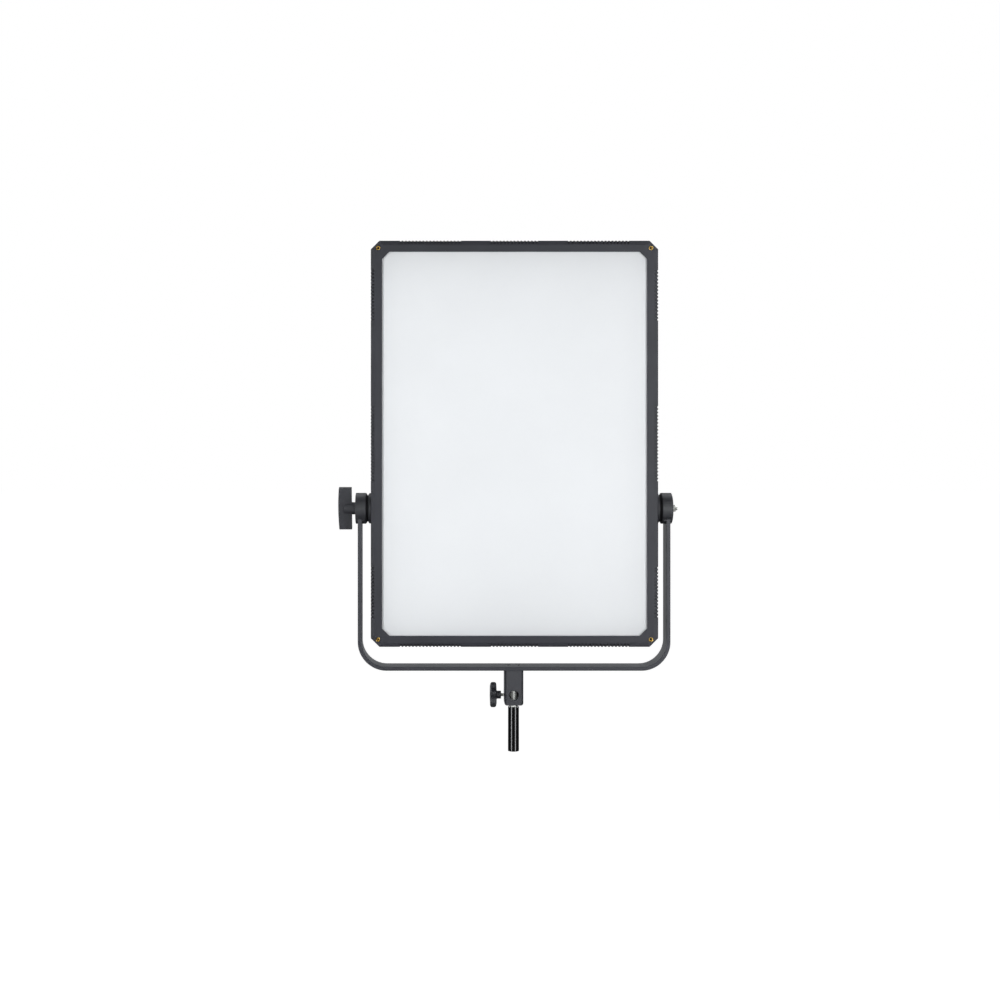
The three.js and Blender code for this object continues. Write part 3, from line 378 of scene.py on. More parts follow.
def stacked(name, rings, closed=False):
    """A skin through rings with equally many points. A ring of one point closes it to a tip."""
    points, rows, faces = [], [], []
    for ring in rings:
        rows.append(list(range(len(points), len(points) + len(ring))))
        points.extend(ring)
    pairs = list(zip(rows, rows[1:]))
    if closed:
        pairs.append((rows[-1], rows[0]))
    for low, high in pairs:
        count = max(len(low), len(high))
        for i in range(count):
            j = (i + 1) % count
            corners = [low[i % len(low)], low[j % len(low)], high[j % len(high)], high[i % len(high)]]
            faces.append(tuple(dict.fromkeys(corners)))
    if not closed:
        faces.extend(tuple(row) for row in (rows[0], rows[-1]) if len(row) > 2)
    return build(name, points, faces)


def turned(name, profile, axis, at, steps=64, radius_of=None):
    """A turned solid on an axis through a point. Its profile of (radius, place along the axis) starts
    and ends on the axis, or closes on itself. radius_of can change a radius with the angle."""
    closed = profile[0] == profile[-1]
    rings = []
    for radius, along in (profile[:-1] if closed else profile):
        if radius == 0:
            rings.append([Vector(placed(axis, 0, 0, along)) + at])
            continue
        ring = []
        for i in range(steps):
            angle = 2 * math.pi * i / steps
            r = radius_of(radius, angle, along) if radius_of else radius
            ring.append(Vector(placed(axis, r * math.cos(angle), r * math.sin(angle), along)) + at)
        rings.append(ring)
    return stacked(name, rings, closed)


def prism(name, outline, axis, low, high, at=Vector()):
    """An outline drawn across an axis, as a slab between two places along it."""
    rings = [[Vector(placed(axis, u, v, along)) + at for u, v in outline] for along in (low, high)]
    return stacked(name, rings)


def settle(piece):
    """Keeps what a piece's modifiers make as its own mesh."""
    seen = piece.evaluated_get(bpy.context.evaluated_depsgraph_get())
    mesh = bpy.data.meshes.new_from_object(seen)
    piece.modifiers.clear()
    piece.data = mesh
    return piece


def combined(piece, tools, operation="DIFFERENCE"):
    """Cuts tools out of a piece, or joins them to it, and removes them."""
    for tool in tools:
        change = piece.modifiers.new("change", "BOOLEAN")
        change.operation = operation
        change.solver = "EXACT"
        change.object = tool
        settle(piece)
        bpy.data.objects.remove(tool)
    return piece


def merged(name, pieces):
    """Several separate solids as one object."""
    points, faces = [], []
    for piece in pieces:
        start = len(points)
        points.extend(v.co / MM for v in piece.data.vertices)
        faces.extend(tuple(start + i for i in face.vertices) for face in piece.data.polygons)
        bpy.data.objects.remove(piece)
    return build(name, points, faces)


def soften(piece, edge, segments, angle):
    """Rounds the edges of a piece that turn by more than an angle."""
    bevel = piece.modifiers.new("edges", "BEVEL")
    bevel.width = edge * MM
    bevel.segments = segments
    bevel.limit_method = "ANGLE"
    bevel.angle_limit = math.radians(angle)


def dress(piece, *nodes, body=None, slot=None, look=None, edge=0.3, segments=2, angle=32):
    """Rounds a piece's edges, gives it its finish, and hides the CAD nodes that it stands for.

    Its body, and the slot whose finish it takes, are the first node's unless they are given, and look
    is a finish other than the slot's own.
    """
    if edge:
        soften(piece, edge, segments, angle)
    else:
        piece.data.set_sharp_from_angle(angle=math.radians(angle))
    for face in piece.data.polygons:
        face.use_smooth = True
    piece.modifiers.new("shading", "WEIGHTED_NORMAL").keep_sharp = True
    slot = slot or slot_of[nodes[0]]
    piece.data.materials.clear()
    piece.data.materials.append(finishes[look or slot])
    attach(piece, body or body_of[nodes[0]])
    if nodes:
        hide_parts(*nodes)
    return piece


def refine(node, edge=0.3, segments=2):
    """A CAD node whose shape is right: flat faces cleaned, edges rounded, and its slot's finish."""
    piece = frame["nodes"][node]
    weld = piece.modifiers.new("weld", "WELD")
    weld.merge_threshold = 0.01 * MM
    flatten = piece.modifiers.new("flatten", "DECIMATE")
    flatten.decimate_type = "DISSOLVE"
    flatten.angle_limit = math.radians(1)
    soften(piece, edge, segments, 32)
    piece.modifiers.new("shading", "WEIGHTED_NORMAL").keep_sharp = True
    piece.data.materials.clear()
    piece.data.materials.append(finishes[slot_of[node]])


# ---- pole and stud ---------------------------------------------------------------------------

TUBE_BORE = 6.6
STUD_NECK = 6.3
GROOVE_HALF = 7                      # of the stud's groove for the clamp screw
GROOVE_SLOPE = 1.7
COLLAR = 1.9                         # length of the full-width part under the groove


def make_pole():
    low, high = box_of("pole_plug")
    radius = (high.x - low.x) / 2
    profile = [(0, low.z, 0), (radius, low.z), (radius, high.z), (0, high.z, 0)]
    dress(turned("pole_foot", rounded(profile, 0.5, closed=False), "Z", Vector(), 96), "pole_plug",
          edge=0)

    low, high = box_of("spigot_pole")
    radius = (high.x - low.x) / 2
    profile = rounded([(TUBE_BORE, low.z), (radius, low.z), (radius, high.z), (TUBE_BORE, high.z)], 0.5)
    dress(turned("pole_tube", profile + profile[:1], "Z", Vector(), 96), "spigot_pole", edge=0)

    low, high = box_of("spigot_stud")
    waist = middle_of("clamp_knob").z
    radius, neck = (high.x - low.x) / 2, STUD_NECK
    mouth = GROOVE_HALF + GROOVE_SLOPE
    under = mouth + COLLAR
    profile = [(0, low.z, 0), (neck, low.z), (neck, waist - under - GROOVE_SLOPE),
               (radius, waist - under), (radius, waist - mouth), (neck, waist - GROOVE_HALF),
               (neck, waist + GROOVE_HALF), (radius, waist + mouth), (radius, high.z - 1.5),
               (radius - 1.5, high.z), (0, high.z, 0)]
    dress(turned("turned_stud", rounded(profile, 0.6, closed=False), "Z", Vector(), 96), "spigot_stud",
          look="satin_steel", edge=0)


# ---- receiver and yoke -----------------------------------------------------------------------

RECEIVER_CORNER = 4
SOCKET_RADIUS = 8.4
SOCKET_DEPTH = 43
CLAMP_SCREW_WAY = 2.8
YOKE_SCREW_X = 8
YOKE_SCREW_WAY = 2.7
RECEIVER_CHAMFER = 2.8               # of its four upright edges
SIGHT_HOLE_RADIUS = 7.2
SIGHT_ABOVE_CLAMP = 1.2


def make_receiver():
    low, high = box_of("stand_receiver")
    half = (high.x - low.x) / 2
    outline = rounded([(half, low.z), (half, high.z, 0.4), (-half, high.z, 0.4), (-half, low.z)],
                      RECEIVER_CORNER, 8)
    body = prism("receiver_block", outline, "Y", -half, half)
    across = octagon(0, RECEIVER_CHAMFER, 0, half=(half, half), middle=(0, 0))
    combined(body, [prism("across", across, "Z", low.z - 1, high.z + 1)], "INTERSECT")
    clamp = Vector((0, 0, middle_of("clamp_knob").z))
    sight = clamp + Vector((0, 0, SIGHT_ABOVE_CLAMP))
    tools = [
        prism("socket", circle(SOCKET_RADIUS, 64), "Z", low.z - 1, low.z + SOCKET_DEPTH),
        turned("sight_hole", [(0, -half - 1), (SIGHT_HOLE_RADIUS + 1, -half - 1),
                              (SIGHT_HOLE_RADIUS, -half + 0.8), (SIGHT_HOLE_RADIUS, 0), (0, 0)],
               "Y", sight, 48),
        prism("screw_way", circle(CLAMP_SCREW_WAY, 32), "X", -half - 1, 0, clamp),
    ]
    for x in (-YOKE_SCREW_X, YOKE_SCREW_X):
        tools.append(prism("tapped", circle(YOKE_SCREW_WAY, 32), "Z", high.z - 7, high.z + 1,
                           Vector((x, 0, 0))))
    dress(combined(body, tools), "stand_receiver", look="coated_block", edge=0.35)


BAR_THICKNESS = 6
BAR_BEND = 44
BAR_BEND_STEPS = 24
BAR_END_STEPS = 10
BAR_END_START = 0.03                 # of a quarter turn, where the bar's round end begins
BAR_EDGE = 0.35
BUSH_WAY = 7.3
COUNTERSINK_RADIUS = 4.9
SCREW_HEAD_RADIUS = 4.6
SCREW_RADIUS = 2.4
SCREW_SOCKET = 1.75                  # radius to its corners


def bar_path():
    """Stations along the yoke: a point in x and z, the outward direction, and half the bar's depth."""
    low, high = box_of("yoke_bar")
    half_depth = (high.y - low.y) / 2
    radius = BAR_BEND - BAR_THICKNESS / 2
    x, z = high.x - BAR_THICKNESS / 2, low.z + BAR_THICKNESS / 2
    stations = []
    for i in range(BAR_END_STEPS + 1):
        angle = math.pi / 2 * (BAR_END_START + (1 - BAR_END_START) * i / BAR_END_STEPS)
        up = half_depth * math.cos(angle)
        stations.append(((x, PIVOT.z + up), (1, 0), half_depth * math.sin(angle)))
    for i in range(BAR_BEND_STEPS + 1):
        angle = -math.pi / 2 * i / BAR_BEND_STEPS
        out = (math.cos(angle), math.sin(angle))
        at = (x - radius + radius * out[0], z + radius + radius * out[1])
        stations.append((at, out, half_depth))
    mirrored = [((-p[0], p[1]), (-n[0], n[1]), d) for p, n, d in reversed(stations)]
    return stations + mirrored


def make_yoke_bar():
    rings = []
    for (x, z), (nx, nz), half_depth in bar_path():
        soft = min(BAR_EDGE, half_depth * 0.6)
        section = rectangle(half_depth, BAR_THICKNESS / 2, soft, 4)
        rings.append([(x + nx * t, y, z + nz * t) for y, t in section])
    bar = stacked("yoke_flat_bar", rings)
    low, high = box_of("yoke_bar")
    base, top = low.z, low.z + BAR_THICKNESS
    tools = [prism("bore", circle(BUSH_WAY, 48), "X", side * (high.x - BAR_THICKNESS - 1),
                   side * (high.x + 1), PIVOT) for side in (-1, 1)]
    for x in (-YOKE_SCREW_X, YOKE_SCREW_X):
        tools.append(turned("countersink", [
            (0, base - 1), (YOKE_SCREW_WAY, base - 1), (YOKE_SCREW_WAY, base + 2.7),
            (COUNTERSINK_RADIUS, top - 0.3), (COUNTERSINK_RADIUS, top + 1), (0, top + 1),
        ], "Z", Vector((x, 0, 0)), 48))
    dress(combined(bar, tools), "yoke_bar", edge=0.25, angle=40)


def make_receiver_screws():
    for side, x in (("left", -YOKE_SCREW_X), ("right", YOKE_SCREW_X)):
        node = "receiver_screw_" + side
        low, high = box_of(node)
        profile = [(0, low.z, 0), (SCREW_RADIUS, low.z), (SCREW_RADIUS, high.z - 2.6),
                   (SCREW_HEAD_RADIUS, high.z - 0.3), (SCREW_HEAD_RADIUS - 0.1, high.z), (0, high.z, 0)]
        at = Vector((x, 0, 0))
        body = turned("countersunk_screw_" + side, rounded(profile, 0.15, 2, closed=False), "Z", at,
                      40)
        socket = prism("socket", circle(SCREW_SOCKET, 6), "Z", high.z - 2.2, high.z + 1, at)
        dress(combined(body, [socket]), node, edge=0.1, segments=1)


# ---- pivot -----------------------------------------------------------------------------------

def side_profile(points, side):
    """A profile drawn outwards along the tilt axis, turned to the left or right side."""
    return [(point[0], side * point[1], *point[2:]) for point in points]


def reach_of(node):
    """The nearest and furthest distance of a node from the middle, along the tilt axis."""
    return sorted(abs(corner.x) for corner in box_of(node))


HUB_RADIUS = 23.6
RING_RADIUS = 23.2
WASHER_RADIUS = 20
BUSH_SEAT = 8.9
HUB_BORES = {"left": 5.3, "right": 3.3}
ARM_HALF_DEPTH = 17.3                # half width of the hub's slot for the yoke's arm


def make_pivot_side(name, side):
    inner, outer = reach_of("hub_" + name)
    bore = HUB_BORES[name]
    recess = outer - 0.8
    profile = [(0, inner, 0), (HUB_RADIUS - 2.8, inner, 0.4), (HUB_RADIUS, inner + 2, 0.6),
               (HUB_RADIUS, outer, 1.1), (HUB_RADIUS - 7, outer, 0.5), (HUB_RADIUS - 7.8, recess, 0.5),
               (bore + 2, recess, 0.5), (bore + 1.2, outer, 0.3), (0, outer, 0)]
    hub = turned("hub_moulding_" + name, rounded(side_profile(profile, side), 1, 5, closed=False), "X",
                 PIVOT, 96)
    arm_high = box_of("yoke_bar")[1].x + 0.3
    arm_low = arm_high - BAR_THICKNESS - 0.6
    tools = [
        prism("slot", circle(ARM_HALF_DEPTH, 64), "X", side * arm_low, side * arm_high, PIVOT),
        prism("way", [(ARM_HALF_DEPTH, 0), (ARM_HALF_DEPTH, -HUB_RADIUS - 1),
                      (-ARM_HALF_DEPTH, -HUB_RADIUS - 1), (-ARM_HALF_DEPTH, 0)],
              "X", side * arm_low, side * arm_high, PIVOT),
        prism("bore", circle(bore, 40), "X", side * (inner - 1), side * (outer + 1), PIVOT),
        prism("seat", circle(BUSH_SEAT, 40), "X", side * (arm_high - 1), side * (arm_high + 1.6),
              PIVOT),
    ]
    dress(combined(hub, tools), "hub_" + name, edge=0.35, angle=40)

    low, high = reach_of("base_disc_" + name)
    profile = rounded(side_profile([(bore, low, 0.1), (RING_RADIUS, low, 0.3),
                                    (RING_RADIUS, high - 1.6, 0.5), (RING_RADIUS - 2.4, high, 0.4),
                                    (bore, high, 0.1)], side), 0.4)
    dress(turned("base_ring_" + name, profile + profile[:1], "X", PIVOT, 96), "base_disc_" + name,
          edge=0)

    low, high = reach_of("friction_washer_" + name)
    profile = rounded(side_profile([(bore, low), (WASHER_RADIUS, low), (WASHER_RADIUS, high),
                                    (bore, high)], side), 0.2)
    dress(turned("friction_ring_" + name, profile + profile[:1], "X", PIVOT, 96),
          "friction_washer_" + name, edge=0)
    refine("pivot_bush_" + name, edge=0.15)
    refine("pivot_bracket_" + name, edge=0.5)


def threaded(name, radius, pitch, low, high, axis, at, tip=0.8, steps=32):
    """A screw's end with a real helical thread between two places on its axis."""
    per_turn = 8
    depth = 0.5 * pitch
    count = max(2, round(abs(high - low) / pitch * per_turn))
    profile = [(0, low)]
    profile += [(radius, low + (high - low) * i / count) for i in range(count + 1)]
    profile.append((0, high))

    def radius_of(nominal, angle, along):
        phase = (along / pitch + angle / (2 * math.pi)) % 1
        groove = 0.54 * pitch * (1 - abs(2 * phase - 1))
        from_tip = min(abs(along - high), tip)
        return nominal - min(groove, depth) - (tip - from_tip) * 0.7

    return turned(name, profile, axis, at, steps, radius_of)


PIVOT_SHANK = 3                      # radius
TILT_SHANK = 5
NUT_RADIUS = 5.8                     # to its corners
NUT_SLOPE = 1.4
NUT_BORE = 3.3
PLAIN_WASHER_RADIUS = 6.6


def make_pivot_fasteners():
    low, high = box_of("pivot_stud")
    thread_start = box_of("pivot_washer")[1].x
    profile = [(0, low.x, 0), (6, low.x), (6, low.x + 4.7), (PIVOT_SHANK, low.x + 4.7, 0),
               (PIVOT_SHANK, thread_start, 0), (0, thread_start, 0)]
    shank = turned("pivot_bolt_shank", rounded(profile, 0.4, closed=False), "X", PIVOT, 48)
    thread = threaded("pivot_bolt_thread", PIVOT_SHANK, 1.0, thread_start + 0.01, high.x, "X", PIVOT)
    dress(merged("pivot_bolt", [shank, thread]), "pivot_stud", edge=0)

    low, high = box_of("pivot_nut")
    nut = prism("cap_nut", circle(NUT_RADIUS, 6), "X", low.x, high.x, PIVOT)
    domed = turned("dome", [(0, low.x - 1), (NUT_RADIUS - 0.75, low.x - 1),
                            (NUT_RADIUS + 0.1, low.x + 0.5), (NUT_RADIUS + 0.1, high.x - NUT_SLOPE),
                            (NUT_RADIUS - 1.5, high.x), (0, high.x)], "X", PIVOT, 64)
    combined(nut, [domed], "INTERSECT")
    combined(nut, [prism("bore", circle(NUT_BORE, 32), "X", low.x - 2, high.x + 2, PIVOT)])
    dress(nut, "pivot_nut", look="satin_steel", edge=0.15)

    low, high = box_of("pivot_washer")
    profile = rounded([(NUT_BORE, low.x), (PLAIN_WASHER_RADIUS, low.x), (PLAIN_WASHER_RADIUS, high.x),
                       (NUT_BORE, high.x)], 0.35, 3)
    dress(turned("plain_washer", profile + profile[:1], "X", PIVOT, 64), "pivot_washer", edge=0)

    low, high = box_of("tilt_stud")
    thread_start = box_of("hub_left")[0].x
    profile = [(0, high.x, 0), (9, high.x), (9, high.x - 5.7), (TILT_SHANK, high.x - 5.7, 0),
               (TILT_SHANK, thread_start, 0), (0, thread_start, 0)]
    shank = turned("tilt_bolt_shank", rounded(profile, 0.6, closed=False), "X", PIVOT, 48)
    thread = threaded("tilt_bolt_thread", TILT_SHANK, 1.5, thread_start - 0.01, low.x, "X", PIVOT)
    dress(merged("tilt_bolt", [shank, thread]), "tilt_stud", edge=0)


# ---- knobs -----------------------------------------------------------------------------------

KNOB_REST_ANGLE = 13
WING_END = 32.5
WING_HALF_THICKNESS = 4.5
WING_LENGTH = 20.6                   # along the tilt axis
BULGE = 1.3                          # how far the outer edge's middle stands beyond its ends
BULGE_STEPS = 12
BOSS_RADIUS = 9.4
BOSS_END_RADIUS = 8.0
BOSS_END = 8.5                       # of the boss, in from the wings' outer edge
KNOB_BORE = 5.3
INSERT_POCKET = 7.3


def make_tilt_knob():
    outer = box_of("tilt_knob")[0].x
    inner = outer + WING_LENGTH
    hub = box_of("hub_left")[0].x
    shares = [2 * k / BULGE_STEPS - 1 for k in range(BULGE_STEPS + 1)]
    arc = [(outer + BULGE * share ** 2, -WING_END * share) for share in shares]
    outline = [(inner, -WING_END), (inner, WING_END), *arc]
    wings = prism("lever_knob", outline, "Y", -WING_HALF_THICKNESS, WING_HALF_THICKNESS)
    boss = turned("boss", rounded([
        (0, hub - 0.3, 0), (BOSS_RADIUS, hub - 0.3, 0.6), (BOSS_RADIUS, inner - 0.6, 1.2),
        (BOSS_END_RADIUS, outer + BOSS_END, 1.2), (0, outer + BOSS_END, 0),
    ], 0.5, closed=False), "X", Vector(), 64)
    combined(wings, [boss], "UNION")
    insert = box_of("knob_insert")[0].x
    combined(wings, [
        prism("bore", circle(KNOB_BORE, 40), "X", hub + 1, box_of("tilt_stud")[0].x - 1),
        prism("pocket", circle(INSERT_POCKET, 40), "X", hub + 1, insert - 0.3),
    ])
    wings.data.transform(Matrix.Rotation(math.radians(KNOB_REST_ANGLE), 4, "X"))
    wings.data.transform(Matrix.Translation(PIVOT * MM))
    dress(wings, "tilt_knob", look="matt_plastic", edge=0.6, segments=3, angle=35)
    refine("knob_insert", edge=0.2)


STAR_RADIUS = 17.9
STAR_LOBE = 2.1
LOBES = 6
LOBE_TURN = 20                       # degrees from a lobe to the front
STAR_THICKNESS = 9.5
STAR_HUB_RADIUS = 6
STAR_ROUNDING = 3.4
CLAMP_SCREW_RADIUS = 2.5
CLAMP_SCREW_PITCH = 0.8


def make_clamp_knob():
    low, high = box_of("clamp_knob")
    at = Vector((0, 0, middle_of("clamp_knob").z))
    disc_in, mean, lobe, hub = low.x + STAR_THICKNESS, STAR_RADIUS, STAR_LOBE, STAR_HUB_RADIUS

    def radius_of(radius, angle, along):
        share = min(max((radius - hub - 3) / (mean - hub - 3), 0), 1)
        from_lobe = angle - math.pi + math.radians(LOBE_TURN)
        return radius + lobe * math.cos(LOBES * from_lobe) * share ** 2

    screw_end = box_of("clamp_screw")[0].x - 0.5
    profile = [(0, low.x + 1.2, 0), (6.5, low.x + 1.2, 0.5), (7.6, low.x, 0.8),
               (mean, low.x, STAR_ROUNDING), (mean, disc_in, STAR_ROUNDING), (hub + 1.2, disc_in, 0.8),
               (hub, disc_in + 1.2, 0.6), (hub, high.x, 0.6), (CLAMP_SCREW_WAY, high.x, 0.2),
               (CLAMP_SCREW_WAY, screw_end, 0), (0, screw_end, 0)]
    knob = turned("star_knob", rounded(profile, 1, 6, closed=False), "X", at, 144, radius_of)
    dress(knob, "clamp_knob", edge=0, angle=50)

    low, high = box_of("clamp_screw")
    screw = threaded("star_knob_screw", CLAMP_SCREW_RADIUS, CLAMP_SCREW_PITCH, low.x, high.x, "X", at)
    dress(screw, "clamp_screw", edge=0, angle=60)


# ---- front frame and light face --------------------------------------------------------------

NOTCH_PITCH = 5.26
NOTCH_WIDTH = 2.6
NOTCH_DEPTH = 4.8
NOTCH_LENGTH = 10                    # how far back a notch runs from the front face
SIDE_NOTCHES = ((-224.5, 15), (0, 22), (224.5, 15))
END_NOTCHES = ((-127.2, 18), (0, 14), (127.2, 18))
INSERT_INSET = 11.1
INSERT_RADIUS = 3.2
INSERT_BORE = 1.65
KNURLS = 18
CORNER_LEG = 13
MOUTH_LEG = 11                       # of the opening's corners, at its front
LIP_DEPTH = 3.0
LIP_UNDERCUT = 0.6                   # how much wider the opening is behind its front edge
RAIL_WIDTH = 17.1                    # of the frame, seen from the front
FRAME_DEPTH = 16
FLANGE_INSET = 7                     # of the frame's outer wall, behind its lip


def frame_section():
    """The frame's section: how far in from its outer edge, depth behind the face, and corner leg."""
    outside = [(0, FRAME_DEPTH), (0, 2.4), (0.12, 1.7), (0.45, 1.15), (1.0, 0.8), (1.7, 0.62),
               (6.2, 0.06), (6.6, 0.01), (FLANGE_INSET, 0)]
    section = [(inset, depth, CORNER_LEG - LEG_LOSS * inset) for inset, depth in outside]
    rim = RAIL_WIDTH
    mouth = [(rim - 0.3, 0), (rim - 0.09, 0.09), (rim, 0.3), (rim - LIP_UNDERCUT, LIP_DEPTH)]
    section += [(inset, depth, MOUTH_LEG + LEG_LOSS * (rim - inset)) for inset, depth in mouth]
    section += [(FLANGE_INSET, depth, 2 * CORNER_LEG) for depth in (LIP_DEPTH, FRAME_DEPTH)]
    return section


def notch_tools(face, groups, place):
    """A box for every notch of one side's groups."""
    notches = []
    far = face + 5
    for middle, count in groups:
        for i in range(count):
            u = middle + (i - (count - 1) / 2) * NOTCH_PITCH
            left, right = u - NOTCH_WIDTH / 2, u + NOTCH_WIDTH / 2
            hole = [(left, face - NOTCH_DEPTH), (right, face - NOTCH_DEPTH), (right, far), (left, far)]
            notches.append(prism("notch", [place(a, d) for a, d in hole], "Y", FRONT - 2,
                                 FRONT + NOTCH_LENGTH))
    return notches


def make_front_frame():
    rings = []
    for inset, depth, leg in frame_section():
        rings.append([(x, FRONT + depth, z) for x, z in octagon(inset, leg)])
    body = stacked("frame_extrusion", rings, closed=True)
    sides = [
        (HALF_W, SIDE_NOTCHES, lambda u, d: (HEAD.x + d, HEAD.z + u)),
        (HALF_W, SIDE_NOTCHES, lambda u, d: (HEAD.x - d, HEAD.z + u)),
        (HALF_H, END_NOTCHES, lambda u, d: (HEAD.x + u, HEAD.z + d)),
        (HALF_H, END_NOTCHES, lambda u, d: (HEAD.x + u, HEAD.z - d)),
    ]
    notches = [notch for side in sides for notch in notch_tools(*side)]
    combined(body, [merged("notches", notches)])
    seats = [turned("seat", [(0, FRONT - 1), (INSERT_RADIUS + 0.9, FRONT - 1),
                             (INSERT_RADIUS + 0.3, FRONT + 0.5), (INSERT_RADIUS + 0.3, FRONT + 10),
                             (0, FRONT + 10)], "Y", Vector((x, 0, z)), 40) for x, z in insert_places()]
    combined(body, [merged("seats", seats)])
    dress(body, "front_frame", edge=0.22, segments=2, angle=38)


def insert_places():
    x, z = HALF_W - INSERT_INSET, HALF_H - INSERT_INSET
    return [(HEAD.x + sx * x, HEAD.z + sz * z) for sz in (1, -1) for sx in (-1, 1)]


def make_inserts():
    names = ("top_left", "top_right", "bottom_left", "bottom_right")
    for name, (x, z) in zip(names, insert_places()):
        low, high = box_of("insert_" + name)
        profile = [(INSERT_BORE, low.y + 0.9, 0), (INSERT_BORE + 0.8, low.y, 0.1),
                   (INSERT_RADIUS, low.y, 0.25), (INSERT_RADIUS, high.y, 0.3), (INSERT_BORE, high.y, 0)]
        profile = rounded(profile, 0.1, 3)

        def knurled(radius, angle, along):
            outer = radius > INSERT_RADIUS - 0.05 and along > low.y + 1.2
            return radius - 0.12 * (1 + math.cos(KNURLS * angle)) * outer

        ring = turned("brass_insert_" + name, profile + profile[:1], "Y", Vector((x, 0, z)), 72,
                      knurled)
        dress(ring, "insert_" + name, edge=0)


FACE_LEG = 17                        # of the light face's corners


def make_light_face():
    low, high = box_of("diffuser")
    rings = []
    for inset, along in ((0.5, low.y), (0.12, low.y + 0.12), (0, low.y + 0.5), (0, high.y - 0.4),
                         (0.4, high.y)):
        outline = octagon(HALF_W - high.x + inset, FACE_LEG - LEG_LOSS * inset)
        rings.append([(x, along, z) for x, z in outline])
    dress(stacked("light_face", rings), "diffuser", edge=0)


def make_light_stack():
    for node in ("light_guide", "reflector_sheet", "heat_spreader"):
        refine(node, edge=0.15, segments=1)
    for side in ("left", "right", "top", "bottom"):
        refine("led_rail_" + side, edge=0.3)
        refine("led_strip_" + side, edge=0.1, segments=1)


# ---- rear housing ----------------------------------------------------------------------------

HOUSING_WALL = 2
LOUVRE_ROWS = ((150, 60), (226, 60), (-157, 40))
LOUVRE_COLUMNS = (-5, -4, -3, -2, 2, 3, 4, 5)
LOUVRE_PITCH = 28
BOX_BELOW_PIVOT = 6                  # of the control box's middle


def pan(name, half, leg, front, back, slope, wall, middle, soft=3.0):
    """An open-fronted pan with cut-off corners and a sloped, rounded edge round its back."""
    outer = [(0, front), (0, back - slope - 0.8), (0.15, back - slope + 0.1), (0.7, back - slope + 0.9),
             (slope - 1.2, back - 0.8), (slope - 0.2, back - 0.15), (slope + 1.2, back)]
    inner = [(wall, front), (wall, back - slope), (slope + wall * 0.6, back - wall)]
    rings = []
    for inset, y in inner[::-1] + outer:
        outline = octagon(inset, leg - LEG_LOSS * inset * 0.7, soft, 4, half, middle)
        rings.append([(x, y, z) for x, z in outline])
    return stacked(name, rings)


def capsule(half_u, half_v, middle):
    return rectangle(half_u, half_v, min(half_u, half_v) * 0.999, 5, middle)


def make_rear_housing():
    low, high = box_of("rear_housing")
    half = ((high.x - low.x) / 2, (high.z - low.z) / 2)
    shell = pan("housing_shell", half, CORNER_LEG, low.y, high.y, 6, HOUSING_WALL, (HEAD.x, HEAD.z))
    slots = []
    for above, height in LOUVRE_ROWS:
        for column in LOUVRE_COLUMNS:
            outline = capsule(2, height / 2, (column * LOUVRE_PITCH, PIVOT.z + above))
            slots.append(prism("slot", outline, "Y", high.y - 4, high.y + 1))
    combined(shell, [merged("slots", slots)])
    window = rectangle(60, 40, 3, 4, (0, PIVOT.z - BOX_BELOW_PIVOT))
    combined(shell, [prism("cable_way", window, "Y", high.y - 4, high.y + 1)])
    ends = [turned("end", [(0, side * 200), (6.3, side * 200), (6.3, side * 230), (0, side * 230)], "X",
                   PIVOT, 40) for side in (-1, 1)]
    combined(shell, [merged("ends", ends)])
    dress(shell, "rear_housing", edge=0.35, segments=2, angle=38)


def make_housing_screws():
    """Cross-recess pan-head screws round the back of the housing and the control box."""
    back = box_of("rear_housing")[1].y
    box_back = box_of("control_box")[1].y
    box_z = PIVOT.z - BOX_BELOW_PIVOT
    places = [(sx * 190, HEAD.z + dz, back) for sx in (-1, 1) for dz in (-285, -100, 100, 285)]
    places += [(sx * 60, HEAD.z + sz * 290, back) for sx in (-1, 1) for sz in (-1, 1)]
    places += [(sx * 94, box_z + sz * 72, box_back) for sx in (-1, 1) for sz in (-1, 1)]
    for number, (x, z, y) in enumerate(places):
        at = Vector((x, 0, z))
        profile = [(0, y - 0.5, 0), (3.4, y - 0.5, 0), (3.4, y + 0.6, 0.5), (2.2, y + 1.5, 0.8),
                   (0, y + 1.6, 0)]
        head = turned("head", rounded(profile, 0.3, 3, closed=False), "Y", at, 40)
        cross = [prism("cross", rectangle(u, v, 0.1, 2, (x, z)), "Y", y + 0.5, y + 3)
                 for u, v in ((1.7, 0.35), (0.35, 1.7))]
        combined(head, cross)
        head.name = f"housing_screw_{number + 1}"
        dress(head, body="head", slot="black_oxide_steel", edge=0.08, segments=1)


# ---- control box -----------------------------------------------------------------------------

def make_control_box():
    refine("control_box", edge=0.7, segments=3)
    for node in ("power_supply", "driver_board", "control_board"):
        refine(node, edge=0.4)
    refine("display_window", edge=0.3)
    make_display_marks()
    for node in ("dim_knob", "colour_knob"):
        make_encoder(node)
    for node in ("menu_button", "mode_button", "back_button"):
        make_button(node)
    make_sockets()
    refine("power_rocker", edge=0.5, segments=3)


SCALES = ((9, 13), (-3, 8))          # height above the window's middle, and bars that are full
SCALE_BARS = 16
SCALE_PITCH = 3.2
SCALE_HALF = 24                      # from the window's middle to the first bar
FULL_BAR_HALF = 2.6                  # half heights
EMPTY_BAR_HALF = 1.182


